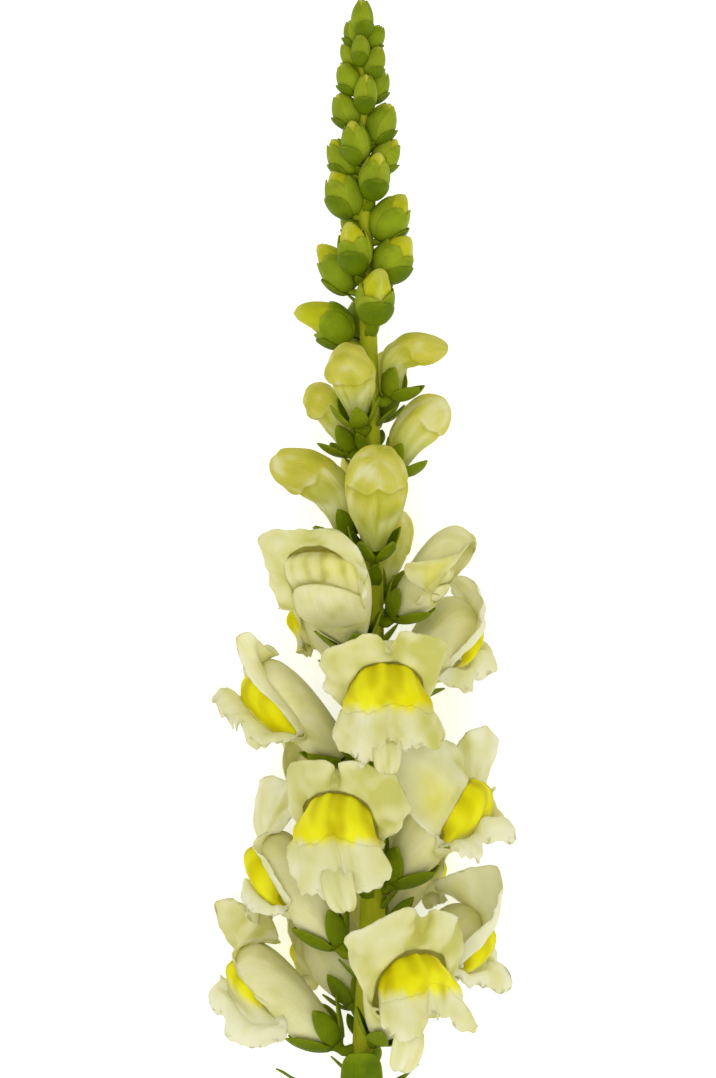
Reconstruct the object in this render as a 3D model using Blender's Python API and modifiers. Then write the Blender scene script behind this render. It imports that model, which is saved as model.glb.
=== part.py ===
"""A cut snapdragon stem (Antirrhinum majus), lying on a surface.

The flower spike has green buds at its tip, swelling cream buds below them, and open two-lipped
blooms with a yellow palate at its foot. Below the spike is a length of leafy stem with a cut end.

+Y runs along the stem towards the tip, +Z is up from the surface, and the origin is on the
surface under the middle of the footprint. Design sizes are in millimetres; points become metres
where a mesh is made.
"""

import math

import bmesh
import bpy
import numpy as np

MM = 0.001

# The stem: distance from the cut end, sideways place, height of its centre, and radius.
STEM_PATH = (
    (0, -4.0, 3.9, 3.9),
    (85, -1.0, 14.0, 3.7),
    (170, 1.6, 23.0, 3.4),
    (215, 3.8, 26.0, 3.2),
    (295, 3.9, 28.0, 2.6),
    (350, 3.0, 29.5, 2.3),
    (400, 1.7, 31.0, 1.8),
    (443, 1.0, 32.5, 1.1),
)
STEM_RINGS = 26
FOOTPRINT_MIDDLE = (-0.1, 224.8)

# A bloom at full size, as nine ribs from its top midline to its bottom midline, mirrored to the
# other side. Points are (across, up, forward) from the bottom of the calyx. Each rib is a Bezier
# curve along the tube, through two handles to the mouth, then another along its lip, through two
# more to the edge: two upper lobes, the corner of the mouth, a side lobe and the middle lobe.
RIBS = 9
BASE_RADIUS, BASE_FORWARD = 3.0, 1.0
BASE_POINT = 0.1
TUBE_HANDLE = (
    (0.0, 7.4, 14.0),
    (2.9, 6.9, 13.6),
    (5.3, 5.2, 12.4),
    (6.9, 2.7, 10.6),
    (7.2, -0.3, 8.6),
    (6.4, -2.9, 7.2),
    (4.8, -4.9, 6.4),
    (2.6, -6.0, 6.0),
    (0.0, -6.3, 5.9),
)
HOOD_HANDLE = (
    (0.0, 11.0, 36.0),
    (5.0, 10.0, 35.0),
    (9.0, 7.5, 31.0),
    (11.3, 3.0, 24.5),
    (11.0, -1.8, 16.5),
    (8.5, -4.6, 11.5),
    (6.0, -5.9, 9.5),
    (3.1, -6.5, 8.7),
    (0.0, -6.7, 8.5),
)
MOUTH = (
    (0.0, -2.8, 31.0),
    (3.6, -2.9, 30.6),
    (7.0, -3.4, 29.0),
    (9.6, -4.0, 25.2),
    (10.1, -4.4, 19.5),
    (8.0, -5.0, 13.2),
    (5.4, -5.8, 11.3),
    (2.8, -6.3, 10.8),
    (0.0, -6.5, 10.7),
)
LIP_HANDLE = (
    (0.0, -2.0, 33.5),
    (4.0, -1.5, 34.0),
    (8.5, -1.5, 32.0),
    (12.0, -3.0, 28.0),
    (12.0, -4.6, 21.0),
    (8.8, -5.8, 13.8),
    (9.0, -8.5, 13.5),
    (5.0, -12.0, 15.5),
    (0.0, -12.5, 17.0),
)
EDGE_HANDLE = (
    (0.0, 0.5, 36.0),
    (4.5, 0.0, 39.0),
    (10.5, 1.5, 37.5),
    (16.0, 1.0, 32.0),
    (15.0, -3.0, 23.5),
    (9.8, -6.8, 14.0),
    (14.0, -10.5, 17.0),
    (9.5, -11.0, 31.0),
    (0.0, -10.0, 36.0),
)
EDGE = (
    (0.0, 2.5, 37.0),
    (5.4, 2.0, 42.0),
    (12.5, 6.0, 39.5),
    (17.0, 7.5, 32.0),
    (15.5, -0.5, 24.5),
    (10.5, -8.5, 14.0),
    (14.5, -15.5, 14.0),
    (7.5, -16.0, 18.0),
    (0.0, -23.0, 14.5),
)
UPPER_RIBS, CORNER_RIB = 5, 5
TUBE_ROWS, LIP_ROWS = (0.0, 0.42, 0.76, 1.0), (1.36, 1.7, 2.0)
HIDDEN_TUBE_ROWS, HIDDEN_LIP_ROWS = (0.0, 0.5, 1.0), (1.4, 2.0)
PETAL_THICKNESS = 0.7

# The palate is a cushion with a groove down its middle, and shuts the mouth.
PALATE_CENTRE = (0.0, -4.8, 21.3)
PALATE_HALF_SIZES = (9.2, 4.2, 9.2)
PALATE_GROOVE = 0.1

# The calyx is a cup of five pointed sepals on a stalk. Rows are (radius, forward), from the neck
# of the stalk to the floor of the cup, with the edge's two rows given for a tip and a notch.
SEPALS = 5
NECK = (1.5, -1.8)
CUP_OUTSIDE, CUP_INSIDE = (5.8, 0.0), (5.0, 0.4)
SEPAL_TIP, SEPAL_NOTCH = (8.4, 8.2), (6.7, 3.0)
CALYX_THICKNESS = 0.8
CUP_FLOOR = -0.6
STALK_DEPTH = 0.6

# Closed buds that are large enough to show their petals.
BUD_BASE_RADIUS, BUD_BASE_POINT = 2.6, -0.2
BUD_WIDEST_AT = 0.62

# Blooms: height of the node on the stem, the side it grows from, the side it faces, its rise
# from the level, its size, how far its upper and lower lips have grown, its stalk and its roll.
# Sides are degrees round the stem: 0 is +X, 90 is straight up and 270 straight down.
BLOOMS = (
    ("bloom_01", 178.5, 60, 64, 50, 1.08, 0.88, 1.15, 4.5, 0),
    ("bloom_02", 175.5, 178, 184, 46, 1.09, 1.00, 0.90, 6.1, 0),
    ("bloom_03", 186.0, 240, 242, 55, 0.88, 0.70, 0.60, 4.5, 0),
    ("bloom_04", 185.8, 340, 340, 48, 0.97, 1.30, 0.80, 6.5, 0),
    ("bloom_05", 201.0, 176, 185, 58, 1.04, 1.25, 0.85, 6.8, 0),
    ("bloom_06", 207.0, 296, 296, 58, 0.90, 0.80, 0.70, 4.5, 0),
    ("bloom_07", 222.5, 116, 107, 45, 1.03, 0.78, 1.15, 4.5, 0),
    ("bloom_08", 219.6, 18, 12, 57, 1.08, 0.90, 0.95, 3.2, 0),
    ("bloom_09", 267.0, 332, 336, 50, 0.96, 0.90, 0.90, 5.0, 0),
    ("bloom_10", 232.0, 232, 236, 47, 0.88, 0.70, 0.60, 5.0, 0),
    ("bloom_11", 250.0, 168, 162, 48, 1.05, 1.00, 0.90, 5.7, 0),
    ("bloom_12", 256.8, 76, 86, 42, 1.04, 0.70, 1.12, 4.5, 0),
    ("bloom_13", 252.0, 280, 278, 46, 0.88, 0.60, 0.60, 4.5, 0),
    ("bloom_14", 273.0, 224, 226, 58, 0.82, 0.50, 0.50, 5.0, 0),
    ("bloom_15", 280.5, 132, 118, 52, 1.10, 0.65, 0.80, 5.0, 0),
    ("bloom_16", 288.0, 24, 13, 47, 0.91, 0.45, 0.30, 4.2, 0),
)
HIDDEN_BLOOMS = ("bloom_03", "bloom_06", "bloom_10", "bloom_13", "bloom_14")

# Cream buds: node height, side, rise, length, half width, stalk.
CREAM_BUDS = (
    ("bud_01", 293.0, 288, 62, 25, 7.0, 4.0),
    ("bud_02", 304.0, 86, 64, 32, 8.4, 4.0),
    ("bud_03", 308.0, 180, 57, 29, 7.2, 5.0),
    ("bud_04", 314.0, 258, 60, 21, 6.2, 4.0),
    ("bud_05", 325.5, 0, 56, 23, 6.6, 4.5),
    ("bud_06", 331.0, 202, 56, 20, 5.8, 4.0),
    ("bud_07", 338.0, 120, 68, 23, 6.6, 4.5),
    ("bud_08", 340.0, 294, 62, 18, 5.4, 4.0),
    ("bud_09", 345.5, 12, 54, 19, 5.4, 4.0),
)

# Green buds, still wrapped in their sepals: node height, side, rise, length, half width, stalk.
GREEN_BUDS = (
    (359.0, 183, 52, 15.0, 5.2, 4.0),
    (361.0, 258, 62, 13.5, 4.4, 2.5),
    (365.0, 74, 72, 15.0, 5.2, 2.5),
    (373.0, 192, 62, 15.0, 4.4, 3.0),
    (374.0, 300, 64, 12.5, 4.2, 2.5),
    (376.0, 26, 60, 13.5, 5.0, 3.0),
    (378.0, 122, 74, 14.0, 4.5, 2.5),
    (386.5, 12, 66, 14.0, 4.8, 2.0),
    (387.0, 245, 66, 12.0, 4.0, 2.0),
    (393.0, 170, 72, 13.0, 4.6, 2.0),
    (397.5, 60, 76, 12.5, 4.0, 2.0),
    (399.0, 300, 70, 11.0, 3.6, 1.5),
    (403.5, 185, 66, 11.0, 3.6, 2.0),
    (404.5, 10, 62, 10.0, 3.3, 2.0),
    (407.0, 120, 76, 11.5, 3.8, 1.5),
    (412.5, 15, 70, 11.0, 3.7, 1.5),
    (412.5, 240, 70, 9.5, 3.2, 1.5),
    (416.5, 172, 68, 9.5, 3.4, 1.5),
    (420.5, 80, 80, 10.0, 3.0, 1.0),
    (423.5, 340, 70, 9.0, 2.9, 1.0),
    (425.5, 165, 68, 8.5, 2.9, 1.0),
    (430.0, 30, 70, 8.0, 2.6, 1.0),
    (432.5, 200, 66, 7.0, 2.2, 1.0),
    (433.0, 100, 80, 8.0, 2.3, 0.8),
    (437.0, 350, 66, 7.0, 2.2, 0.8),
    (438.0, 190, 78, 7.0, 2.2, 0.5),
)
TIP_BUD = (440.5, 90, 88, 10.0, 2.8, 0.0)

# Bracts, one under each stalk, and the larger leaves of the lower stem.
BRACT_LENGTH, BRACT_HALF_WIDTH, BRACT_THICKNESS = 9.0, 2.6, 0.8
BRACT_DROP, BRACT_RISE = 6.0, 42
LEAF_THICKNESS = 0.8
# Leaves: node height, side, rise, length, half width.
LEAVES = (
    ("leaf_01", 38.0, 352, 38, 62, 6.5),
    ("leaf_02", 52.0, 207, 36, 62, 7.0),
    ("leaf_03", 68.0, 95, 48, 60, 6.2),
    ("leaf_04", 84.0, 328, 34, 64, 6.8),
    ("leaf_05", 99.0, 172, 40, 60, 6.2),
    ("leaf_06", 113.0, 45, 46, 52, 5.6),
    ("leaf_07", 126.0, 215, 44, 50, 5.4),
    ("leaf_08", 138.0, 345, 48, 42, 4.6),
    ("leaf_09", 157.0, 182, 44, 23, 3.4),
    ("leaf_10", 151.0, 90, 76, 27, 5.6),
    ("leaf_11", 160.0, 352, 56, 16, 2.8),
)

COLOURS = {
    "green": ((0.16, 0.24, 0.02), 0.5),
    "cream": ((0.68, 0.66, 0.34), 0.55),
    "yellow": ((0.72, 0.62, 0.01), 0.5),
    "bud_cream": ((0.62, 0.58, 0.14), 0.5),
    "leaf": ((0.14, 0.22, 0.03), 0.5),
}


def smooth_through(stops, values, at):
    """A smooth curve through the values at the stops, read at one place (Catmull-Rom)."""
    i = int(np.clip(np.searchsorted(stops, at) - 1, 0, len(stops) - 2))
    step = stops[i + 1] - stops[i]
    slopes = []
    for k in (i, i + 1):
        low, high = max(k - 1, 0), min(k + 1, len(stops) - 1)
        slopes.append((values[high] - values[low]) / (stops[high] - stops[low]) * step)
    t = (at - stops[i]) / step
    return (
        values[i] * (1 + 2 * t) * (1 - t) ** 2
        + slopes[0] * t * (1 - t) ** 2
        + values[i + 1] * t * t * (3 - 2 * t)
        + slopes[1] * t * t * (t - 1)
    )


def stem_at(along):
    """(centre, radius) of the stem at a distance from its cut end."""
    stops, across, height, radius = np.array(STEM_PATH, float).T
    x = smooth_through(stops, across, along)
    z = smooth_through(stops, height, along)
    return np.array((x, along, z)), smooth_through(stops, radius, along)


def outward(side):
    """The direction away from the stem on that side."""
    angle = math.radians(side)
    return np.array((math.cos(angle), 0.0, math.sin(angle)))


class Seat:
    """Where an organ sits: its own x is across, y is up towards the stem, z is forward."""

    STALK_RISE = 35

    def __init__(self, along, side, rise, stalk, facing=None, roll=0.0, size=1.0):
        centre, radius = stem_at(along)
        tip_ward = np.array((0.0, 1.0, 0.0))
        lean = math.radians(self.STALK_RISE)
        self.root = centre - outward(side) * radius * STALK_DEPTH
        self.origin = (
            centre
            + outward(side) * (radius + stalk * math.cos(lean))
            + tip_ward * stalk * math.sin(lean)
        )
        away = outward(side if facing is None else facing)
        rise = math.radians(rise)
        self.forward = away * math.cos(rise) + tip_ward * math.sin(rise)
        up = tip_ward * math.cos(rise) - away * math.sin(rise)
        across = np.cross(up, self.forward)
        turn = math.radians(roll)
        self.up = up * math.cos(turn) + across * math.sin(turn)
        self.across = across * math.cos(turn) - up * math.sin(turn)
        self.size = size

    def place(self, x, y, z):
        """A point of the organ, in the stem's millimetres."""
        return (
            self.origin
            + (self.across * x + self.up * y + self.forward * z) * self.size
        )


def pressed(point, clearance):
    """The point, raised where it would lie lower than the surface that the stem rests on."""
    return np.array((point[0], point[1], max(point[2], clearance)))


def to_metres(point):
    x, y = FOOTPRINT_MIDDLE
    return ((point[0] - x) * MM, (point[1] - y) * MM, point[2] * MM)


# ---------------------------------------------------------------- forms


def mirrored(table):
    """A rib table with one more rib past each midline, so that curves cross it smoothly."""
    table = np.array(table, float)
    return np.vstack([table[1] * (-1, 1, 1), table, table[-2] * (-1, 1, 1)])


def between_ribs(table, turn):
    """A rib table's point at a turn of 0 (top midline) to 1 (bottom midline)."""
    at = turn * (RIBS - 1)
    i = min(int(at), RIBS - 2)
    t = at - i
    before, start, end, after = table[i : i + 4]
    return 0.5 * (
        2 * start
        + (end - before) * t
        + (2 * before - 5 * start + 4 * end - after) * t * t
        + (3 * start - before - 3 * end + after) * t**3
    )


def bezier(start, handle, other, end, t):
    return (
        start * (1 - t) ** 3
        + handle * 3 * t * (1 - t) ** 2
        + other * 3 * t * t * (1 - t)
        + end * t**3
    )


class Corolla:
    """A bloom's tube and lips. upper and lower are how far its lips have grown and spread."""

    def __init__(self, upper, lower):
        growth = np.full((RIBS, 1), lower)
        growth[:UPPER_RIBS] = upper
        growth[CORNER_RIB] = (upper + lower) / 2
        mouth = np.array(MOUTH)
        ring = [
            (BASE_RADIUS * math.sin(angle), BASE_RADIUS * math.cos(angle), BASE_FORWARD)
            for angle in np.linspace(0, math.pi, RIBS)
        ]
        lips = [
            mouth + (np.array(table) - mouth) * growth
            for table in (LIP_HANDLE, EDGE_HANDLE, EDGE)
        ]
        self.tube = [mirrored(table) for table in (ring, TUBE_HANDLE, HOOD_HANDLE, MOUTH)]
        self.lip = [mirrored(table) for table in (mouth, *lips)]

    def point(self, turn, along):
        """(across, up, forward). turn goes once round from the bottom midline, in -1 to 1;
        along is 0 at the base, 1 at the mouth and 2 at the edge of the lips."""
        curve, t = (self.tube, along) if along <= 1 else (self.lip, along - 1)
        point = bezier(*[between_ribs(table, abs(turn)) for table in curve], t)
        return point * (math.copysign(1, turn), 1, 1)


def palate_point(unit_point):
    """A point of the unit ball, moved onto the palate: (across, up, forward)."""
    x, y, z = unit_point
    groove = 1 - PALATE_GROOVE * math.exp(-((x / 0.25) ** 2)) * max(z, y, 0)
    return np.array(PALATE_CENTRE) + np.array((x, y * groove, z * groove)) * PALATE_HALF_SIZES


def calyx_point(turn, row):
    """(across, up, forward) on the neck and cup, by row."""
    angle = math.pi * turn
    edge = SEPAL_TIP if math.cos(SEPALS * angle) > 0 else SEPAL_NOTCH
    half = CALYX_THICKNESS / 2
    rows = (
        NECK,
        CUP_OUTSIDE,
        (edge[0] + half, edge[1]),
        (edge[0] - half, edge[1]),
        CUP_INSIDE,
        (0, CUP_FLOOR),
    )
    radius, forward = rows[row]
    return np.array((radius * math.sin(angle), radius * math.cos(angle), forward))


def bud_point(turn, along, length, half_width):
    """(across, up, forward) on a closed cream bud: a hood that hooks over a narrower foot."""
    angle = math.pi * turn
    if along < BUD_WIDEST_AT:
        grown = math.sin(along / BUD_WIDEST_AT * math.pi / 2) ** 1.5
        radius = BUD_BASE_RADIUS + (half_width - BUD_BASE_RADIUS) * grown
    else:
        past = (along - BUD_WIDEST_AT) / (1 - BUD_WIDEST_AT)
        radius = half_width * math.sqrt(max(1 - past**2.4, 0))
    if along == 0:
        radius = 0
    hook = -0.22 * length * along**3
    up = radius * math.cos(angle) + hook + 0.08 * length * math.sin(math.pi * along)
    forward = BASE_FORWARD + (length - BASE_FORWARD) * along
    return np.array((radius * math.sin(angle) * 0.92, up, forward))


def blade_point(across, along, length, half_width, arch):
    """(across, up, forward) on a leaf or bract: across in -1 to 1, along in 0 to 1."""
    width = half_width * math.sin(math.pi * (0.08 + 0.92 * along) ** 0.8) ** 0.8
    if along == 1:
        width = 0
    fold = 0.25 * width * abs(across)
    return np.array(
        (width * across, fold - arch * length * along**2, length * along)
    )


# ---------------------------------------------------------------- meshes


def new_object(name, mesh, material, collection):
    obj = bpy.data.objects.new(name, mesh)
    obj.data.materials.append(material)
    collection.objects.link(obj)
    return obj


def mesh_from(name, bm):
    bmesh.ops.recalc_face_normals(bm, faces=bm.faces)
    mesh = bpy.data.meshes.new(name)
    bm.to_mesh(mesh)
    bm.free()
    return mesh


def bent_sheet(name, columns, rows, place):
    """A flat grid, bent by place(u, v) with u and v in 0 to 1, and split into triangles."""
    bm = bmesh.new()
    bmesh.ops.create_grid(bm, x_segments=columns, y_segments=rows, size=0.5)
    for vert in bm.verts:
        u, v = round(vert.co.x + 0.5, 6), round(vert.co.y + 0.5, 6)
        vert.co = to_metres(place(u, v))
    bmesh.ops.remove_doubles(bm, verts=bm.verts, dist=1e-6)
    bmesh.ops.triangulate(bm, faces=bm.faces)
    return mesh_from(name, bm)


def thicken(obj, thickness, offset=0.0):
    solidify = obj.modifiers.new("thickness", "SOLIDIFY")
    solidify.thickness = thickness * MM
    solidify.offset = offset
    solidify.use_even_offset = False


def ball(name, segments, rings, place):
    """A ball with its points moved by place(point of the unit ball)."""
    bm = bmesh.new()
    bmesh.ops.create_uvsphere(bm, u_segments=segments, v_segments=rings, radius=1)
    for vert in bm.verts:
        vert.co = to_metres(place(vert.co))
    bmesh.ops.triangulate(bm, faces=bm.faces)
    return mesh_from(name, bm)


# ---------------------------------------------------------------- the stem and what is fused to it


def stem_axis(material, collection):
    """The stem's own tube, made as a curve and turned into a mesh."""
    curve = bpy.data.curves.new("stem_curve", "CURVE")
    curve.dimensions = "3D"
    curve.bevel_depth = MM
    curve.bevel_resolution = 2
    curve.use_fill_caps = True
    spline = curve.splines.new("POLY")
    spline.points.add(STEM_RINGS - 1)
    for i, point in enumerate(spline.points):
        along = STEM_PATH[-1][0] * i / (STEM_RINGS - 1)
        centre, radius = stem_at(along)
        point.co = (*to_metres(centre), 1)
        point.radius = radius
    guide = bpy.data.objects.new("stem_guide", curve)
    collection.objects.link(guide)
    graph = bpy.context.evaluated_depsgraph_get()
    mesh = bpy.data.meshes.new_from_object(guide.evaluated_get(graph))
    bpy.data.objects.remove(guide)
    bm = bmesh.new()
    bm.from_mesh(mesh)
    bmesh.ops.remove_doubles(bm, verts=bm.verts, dist=1e-5)
    bpy.data.meshes.remove(mesh)
    mesh = mesh_from("stem", bm)
    mesh.materials.clear()
    return new_object("stem", mesh, material, collection)


def add_calyx(seat, material, collection):
    """A stalk that starts inside the stem, and its cup of sepals."""
    rows = 6

    def place(u, v):
        row = round(v * rows)
        if row == 0:
            return seat.root
        return pressed(seat.place(*calyx_point(2 * u - 1, row - 1)), 0.1)

    mesh = bent_sheet("calyx", 2 * SEPALS, rows, place)
    new_object("calyx", mesh, material, collection)


def add_bract(along, side, material, collection):
    """The small leaf below a stalk, held close to it."""
    seat = Seat(along - BRACT_DROP, side, BRACT_RISE, -1.2)

    def place(u, v):
        point = blade_point(2 * u - 1, v, BRACT_LENGTH, BRACT_HALF_WIDTH, -0.1)
        return pressed(seat.place(*point), 0.5)

    mesh = bent_sheet("bract", 2, 2, place)
    thicken(new_object("bract", mesh, material, collection), BRACT_THICKNESS)


def add_green_bud(row, material, collection):
    """A bud whose lower end narrows to a stalk that starts inside the stem."""
    along, side, rise, length, half_width, stalk = row
    seat = Seat(along, side, rise, stalk)
    neck = min(1.0, 0.45 * half_width)

    def place(point):
        x, y, z = point
        if z < -0.99:
            return seat.root
        grown = (z + 0.81) / 1.81
        round_off = math.hypot(x, y)
        radius = half_width * round_off if z > -0.7 else neck
        if round_off > 0.01:
            x, y = x / round_off * radius, y / round_off * radius
        droop = -0.08 * length * grown**2
        return seat.place(x * 0.92, y + droop, length * grown - 0.4)

    new_object("green_bud", ball("green_bud", 6, 5, place), material, collection)


def fuse(obj, collection):
    """Joins everything in the collection to the object, then removes the collection."""
    join = obj.modifiers.new("join", "BOOLEAN")
    join.operation = "UNION"
    join.operand_type = "COLLECTION"
    join.collection = collection
    join.solver = "MANIFOLD"
    bpy.context.view_layer.update()
    graph = bpy.context.evaluated_depsgraph_get()
    mesh = bpy.data.meshes.new_from_object(obj.evaluated_get(graph))
    obj.modifiers.clear()
    obj.data = mesh
    for piece in list(collection.objects):
        bpy.data.objects.remove(piece)
    bpy.data.collections.remove(collection)


def make_stem(materials, collection):
    green = materials["green"]
    repeats = bpy.data.collections.new("repeats")
    bpy.context.scene.collection.children.link(repeats)
    stem = stem_axis(green, collection)
    for row in BLOOMS:
        name, along, side, facing, rise, size, upper, lower, stalk, roll = row
        seat = Seat(along, side, rise, stalk, facing, roll, size)
        add_calyx(seat, green, repeats)
        add_bract(along, side, green, repeats)
    for name, along, side, rise, length, half_width, stalk in CREAM_BUDS:
        seat = Seat(along, side, rise, stalk, size=cream_bud_size(half_width))
        add_calyx(seat, green, repeats)
        add_bract(along, side, green, repeats)
    for row in GREEN_BUDS + (TIP_BUD,):
        add_green_bud(row, green, repeats)
    fuse(stem, repeats)
    return stem


# ---------------------------------------------------------------- blooms, buds and leaves


def cream_bud_size(half_width):
    """How large a cream bud's calyx is beside a full-sized bloom's."""
    return 0.6 + 0.05 * half_width


def make_bloom(row, materials, collection):
    name, along, side, facing, rise, size, upper, lower, stalk, roll = row
    seat = Seat(along, side, rise, stalk, facing, roll, size)
    corolla = Corolla(upper, lower)
    levels = TUBE_ROWS + LIP_ROWS
    if name in HIDDEN_BLOOMS:
        levels = HIDDEN_TUBE_ROWS + HIDDEN_LIP_ROWS

    def place(u, v):
        row_number = round(v * len(levels))
        if row_number == 0:
            point = (0.0, 0.0, BASE_POINT)
        else:
            point = corolla.point(1 - 2 * u, levels[row_number - 1])
        return pressed(seat.place(*point), PETAL_THICKNESS / 2)

    mesh = bent_sheet(name, 2 * RIBS - 2, len(levels), place)
    thicken(new_object(name, mesh, materials["cream"], collection), PETAL_THICKNESS)

    def place_palate(point):
        return pressed(seat.place(*palate_point(point)), 0.2)

    palate = ball(f"{name}_palate", 8, 6, place_palate)
    new_object(f"{name}_palate", palate, materials["yellow"], collection)


def make_cream_bud(row, materials, collection):
    name, along, side, rise, length, half_width, stalk = row
    size = cream_bud_size(half_width)
    seat = Seat(along, side, rise, stalk, size=size)
    rows = 7

    def place(u, v):
        if v == 0:
            point = (0.0, 0.0, BUD_BASE_POINT)
        else:
            point = bud_point(2 * u - 1, v, length / size, half_width / size)
        return pressed(seat.place(*point), 0.2)

    mesh = bent_sheet(name, 8, rows, place)
    new_object(name, mesh, materials["bud_cream"], collection)


def make_leaf(row, materials, collection):
    name, along, side, rise, length, half_width = row
    seat = Seat(along, side, rise, 0.9)

    def place(u, v):
        point = blade_point(2 * u - 1, v, length, half_width, 0.12)
        return pressed(seat.place(*point), LEAF_THICKNESS / 2)

    mesh = bent_sheet(name, 2, 6, place)
    thicken(new_object(name, mesh, materials["leaf"], collection), LEAF_THICKNESS)


def make_materials():
    materials = {}
    for name, (colour, roughness) in COLOURS.items():
        material = bpy.data.materials.new(name)
        material.use_nodes = True
        shader = material.node_tree.nodes["Principled BSDF"]
        shader.inputs["Base Color"].default_value = (*colour, 1)
        shader.inputs["Roughness"].default_value = roughness
        shader.inputs["Metallic"].default_value = 0
        materials[name] = material
    return materials


def main():
    for obj in list(bpy.data.objects):
        bpy.data.objects.remove(obj)
    collection = bpy.data.collections.new("snapdragon_stem")
    bpy.context.scene.collection.children.link(collection)
    materials = make_materials()
    make_stem(materials, collection)
    for row in BLOOMS:
        make_bloom(row, materials, collection)
    for row in CREAM_BUDS:
        make_cream_bud(row, materials, collection)
    for row in LEAVES:
        make_leaf(row, materials, collection)


main()
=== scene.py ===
"""The snapdragon stem of the photograph, dressed: fine petals, sepals, buds and leaves on the
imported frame, seen from straight above on a plain white table.

Design sizes are in millimetres, in the frame of the source: along is the distance from the cut
end, and the organs' own axes are across, up (towards the stem's tip) and forward.
"""

import math

import bmesh
import bpy
import numpy as np
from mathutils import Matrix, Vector


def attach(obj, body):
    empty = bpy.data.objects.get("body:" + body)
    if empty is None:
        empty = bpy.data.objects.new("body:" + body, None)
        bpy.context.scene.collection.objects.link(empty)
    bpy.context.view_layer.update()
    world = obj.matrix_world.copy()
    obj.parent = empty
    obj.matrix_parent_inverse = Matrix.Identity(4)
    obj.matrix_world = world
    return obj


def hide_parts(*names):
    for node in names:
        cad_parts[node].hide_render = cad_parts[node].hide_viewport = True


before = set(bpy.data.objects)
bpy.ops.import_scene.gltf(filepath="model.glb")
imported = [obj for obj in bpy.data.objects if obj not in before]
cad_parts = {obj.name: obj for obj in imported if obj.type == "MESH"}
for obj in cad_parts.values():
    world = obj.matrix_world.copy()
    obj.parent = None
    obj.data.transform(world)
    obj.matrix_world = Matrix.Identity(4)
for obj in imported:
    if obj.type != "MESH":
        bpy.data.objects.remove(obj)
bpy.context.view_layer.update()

MM = 0.001
TINY = 1e-9

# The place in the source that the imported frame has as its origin.
FOOTPRINT_MIDDLE = np.array((-0.1, 224.8, 0.0))
TIPWARD = np.array((0.0, 1.0, 0.0))

# The stalks' rise is in degrees. The gaps keep the sheets' middles off the table.
STALK_RISE = 35
PETAL_GAP, LEAF_GAP = 0.2, 0.3
WELD = 0.002
CRUMPLE_WAVES = 9
ANY_PHASE = 6.3

# The picture is in pixels. PIXEL is a pixel's width at the blooms' level, and PICTURE_MIDDLE is
# how far along the stem the picture's middle lies. The lights' aim is in metres.
PICTURE_WIDTH, PICTURE_HEIGHT = 716, 1078
PIXEL = 0.26
PICTURE_MIDDLE = 310
BLOOM_LEVEL = 30
LENS, SENSOR = 200, 36
LIT_POINT = (0.0, 0.085, 0.03)

# along, across, height, radius
STEM_PATH = (
    (0, -4.0, 3.9, 3.9),
    (85, -1.0, 14.0, 3.7),
    (170, 1.6, 23.0, 3.4),
    (215, 3.8, 26.0, 3.2),
    (295, 3.9, 28.0, 2.6),
    (350, 3.0, 29.5, 2.3),
    (400, 1.7, 31.0, 1.8),
    (443, 1.0, 32.5, 1.1),
)
STEM_ROWS, STEM_SIDES = 300, 28

# ---------------------------------------------------------------- the bloom's ribs, as in the source

# Each rib's across, up and forward, from the top midline (0) to the bottom one (8).
RIBS, LAST_RIB = 9, 8
BASE_RADIUS, BASE_FORWARD = 3.0, 1.0
TUBE_HANDLE = (
    (0.0, 7.4, 14.0), (2.9, 6.9, 13.6), (5.3, 5.2, 12.4), (6.9, 2.7, 10.6), (7.2, -0.3, 8.6),
    (6.4, -2.9, 7.2), (4.8, -4.9, 6.4), (2.6, -6.0, 6.0), (0.0, -6.3, 5.9),
)
HOOD_HANDLE = (
    (0.0, 11.0, 36.0), (5.0, 10.0, 35.0), (9.0, 7.5, 31.0), (11.3, 3.0, 24.5), (11.0, -1.8, 16.5),
    (8.5, -4.6, 11.5), (6.0, -5.9, 9.5), (3.1, -6.5, 8.7), (0.0, -6.7, 8.5),
)
MOUTH = (
    (0.0, -2.8, 31.0), (3.3, -2.9, 30.6), (6.4, -3.4, 29.0), (8.8, -4.0, 25.4), (9.3, -4.4, 19.5),
    (7.8, -5.0, 13.2), (5.4, -5.8, 11.3), (2.8, -6.3, 10.8), (0.0, -6.5, 10.7),
)
LIP_HANDLE = (
    (0.0, -2.0, 33.5), (4.0, -1.5, 34.0), (8.5, -1.5, 32.0), (12.0, -3.0, 28.0), (12.0, -4.6, 21.0),
    (8.8, -5.8, 13.8), (9.0, -8.5, 13.5), (5.0, -12.0, 15.5), (0.0, -12.5, 17.0),
)
EDGE_HANDLE = (
    (0.0, 0.5, 36.0), (4.5, 0.0, 39.0), (10.5, 1.5, 37.5), (16.0, 1.0, 32.0), (15.0, -3.0, 23.5),
    (10.8, -6.6, 16.5), (13.5, -9.5, 20.5), (8.5, -11.0, 28.0), (0.0, -10.5, 32.0),
)
EDGE = (
    (0.0, 2.5, 37.0), (5.4, 2.0, 42.0), (12.5, 6.0, 39.5), (17.0, 7.5, 32.0), (15.5, -0.5, 24.5),
    (12.0, -8.5, 15.5), (15.0, -14.0, 15.0), (9.0, -18.0, 15.0), (0.0, -21.5, 13.5),
)
UPPER_RIBS, CORNER_RIB = 5, 5
PALATE_CENTRE = np.array((0.0, -4.6, 21.5))
PALATE_HALF_SIZES = np.array((9.1, 4.8, 10.1))

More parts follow.
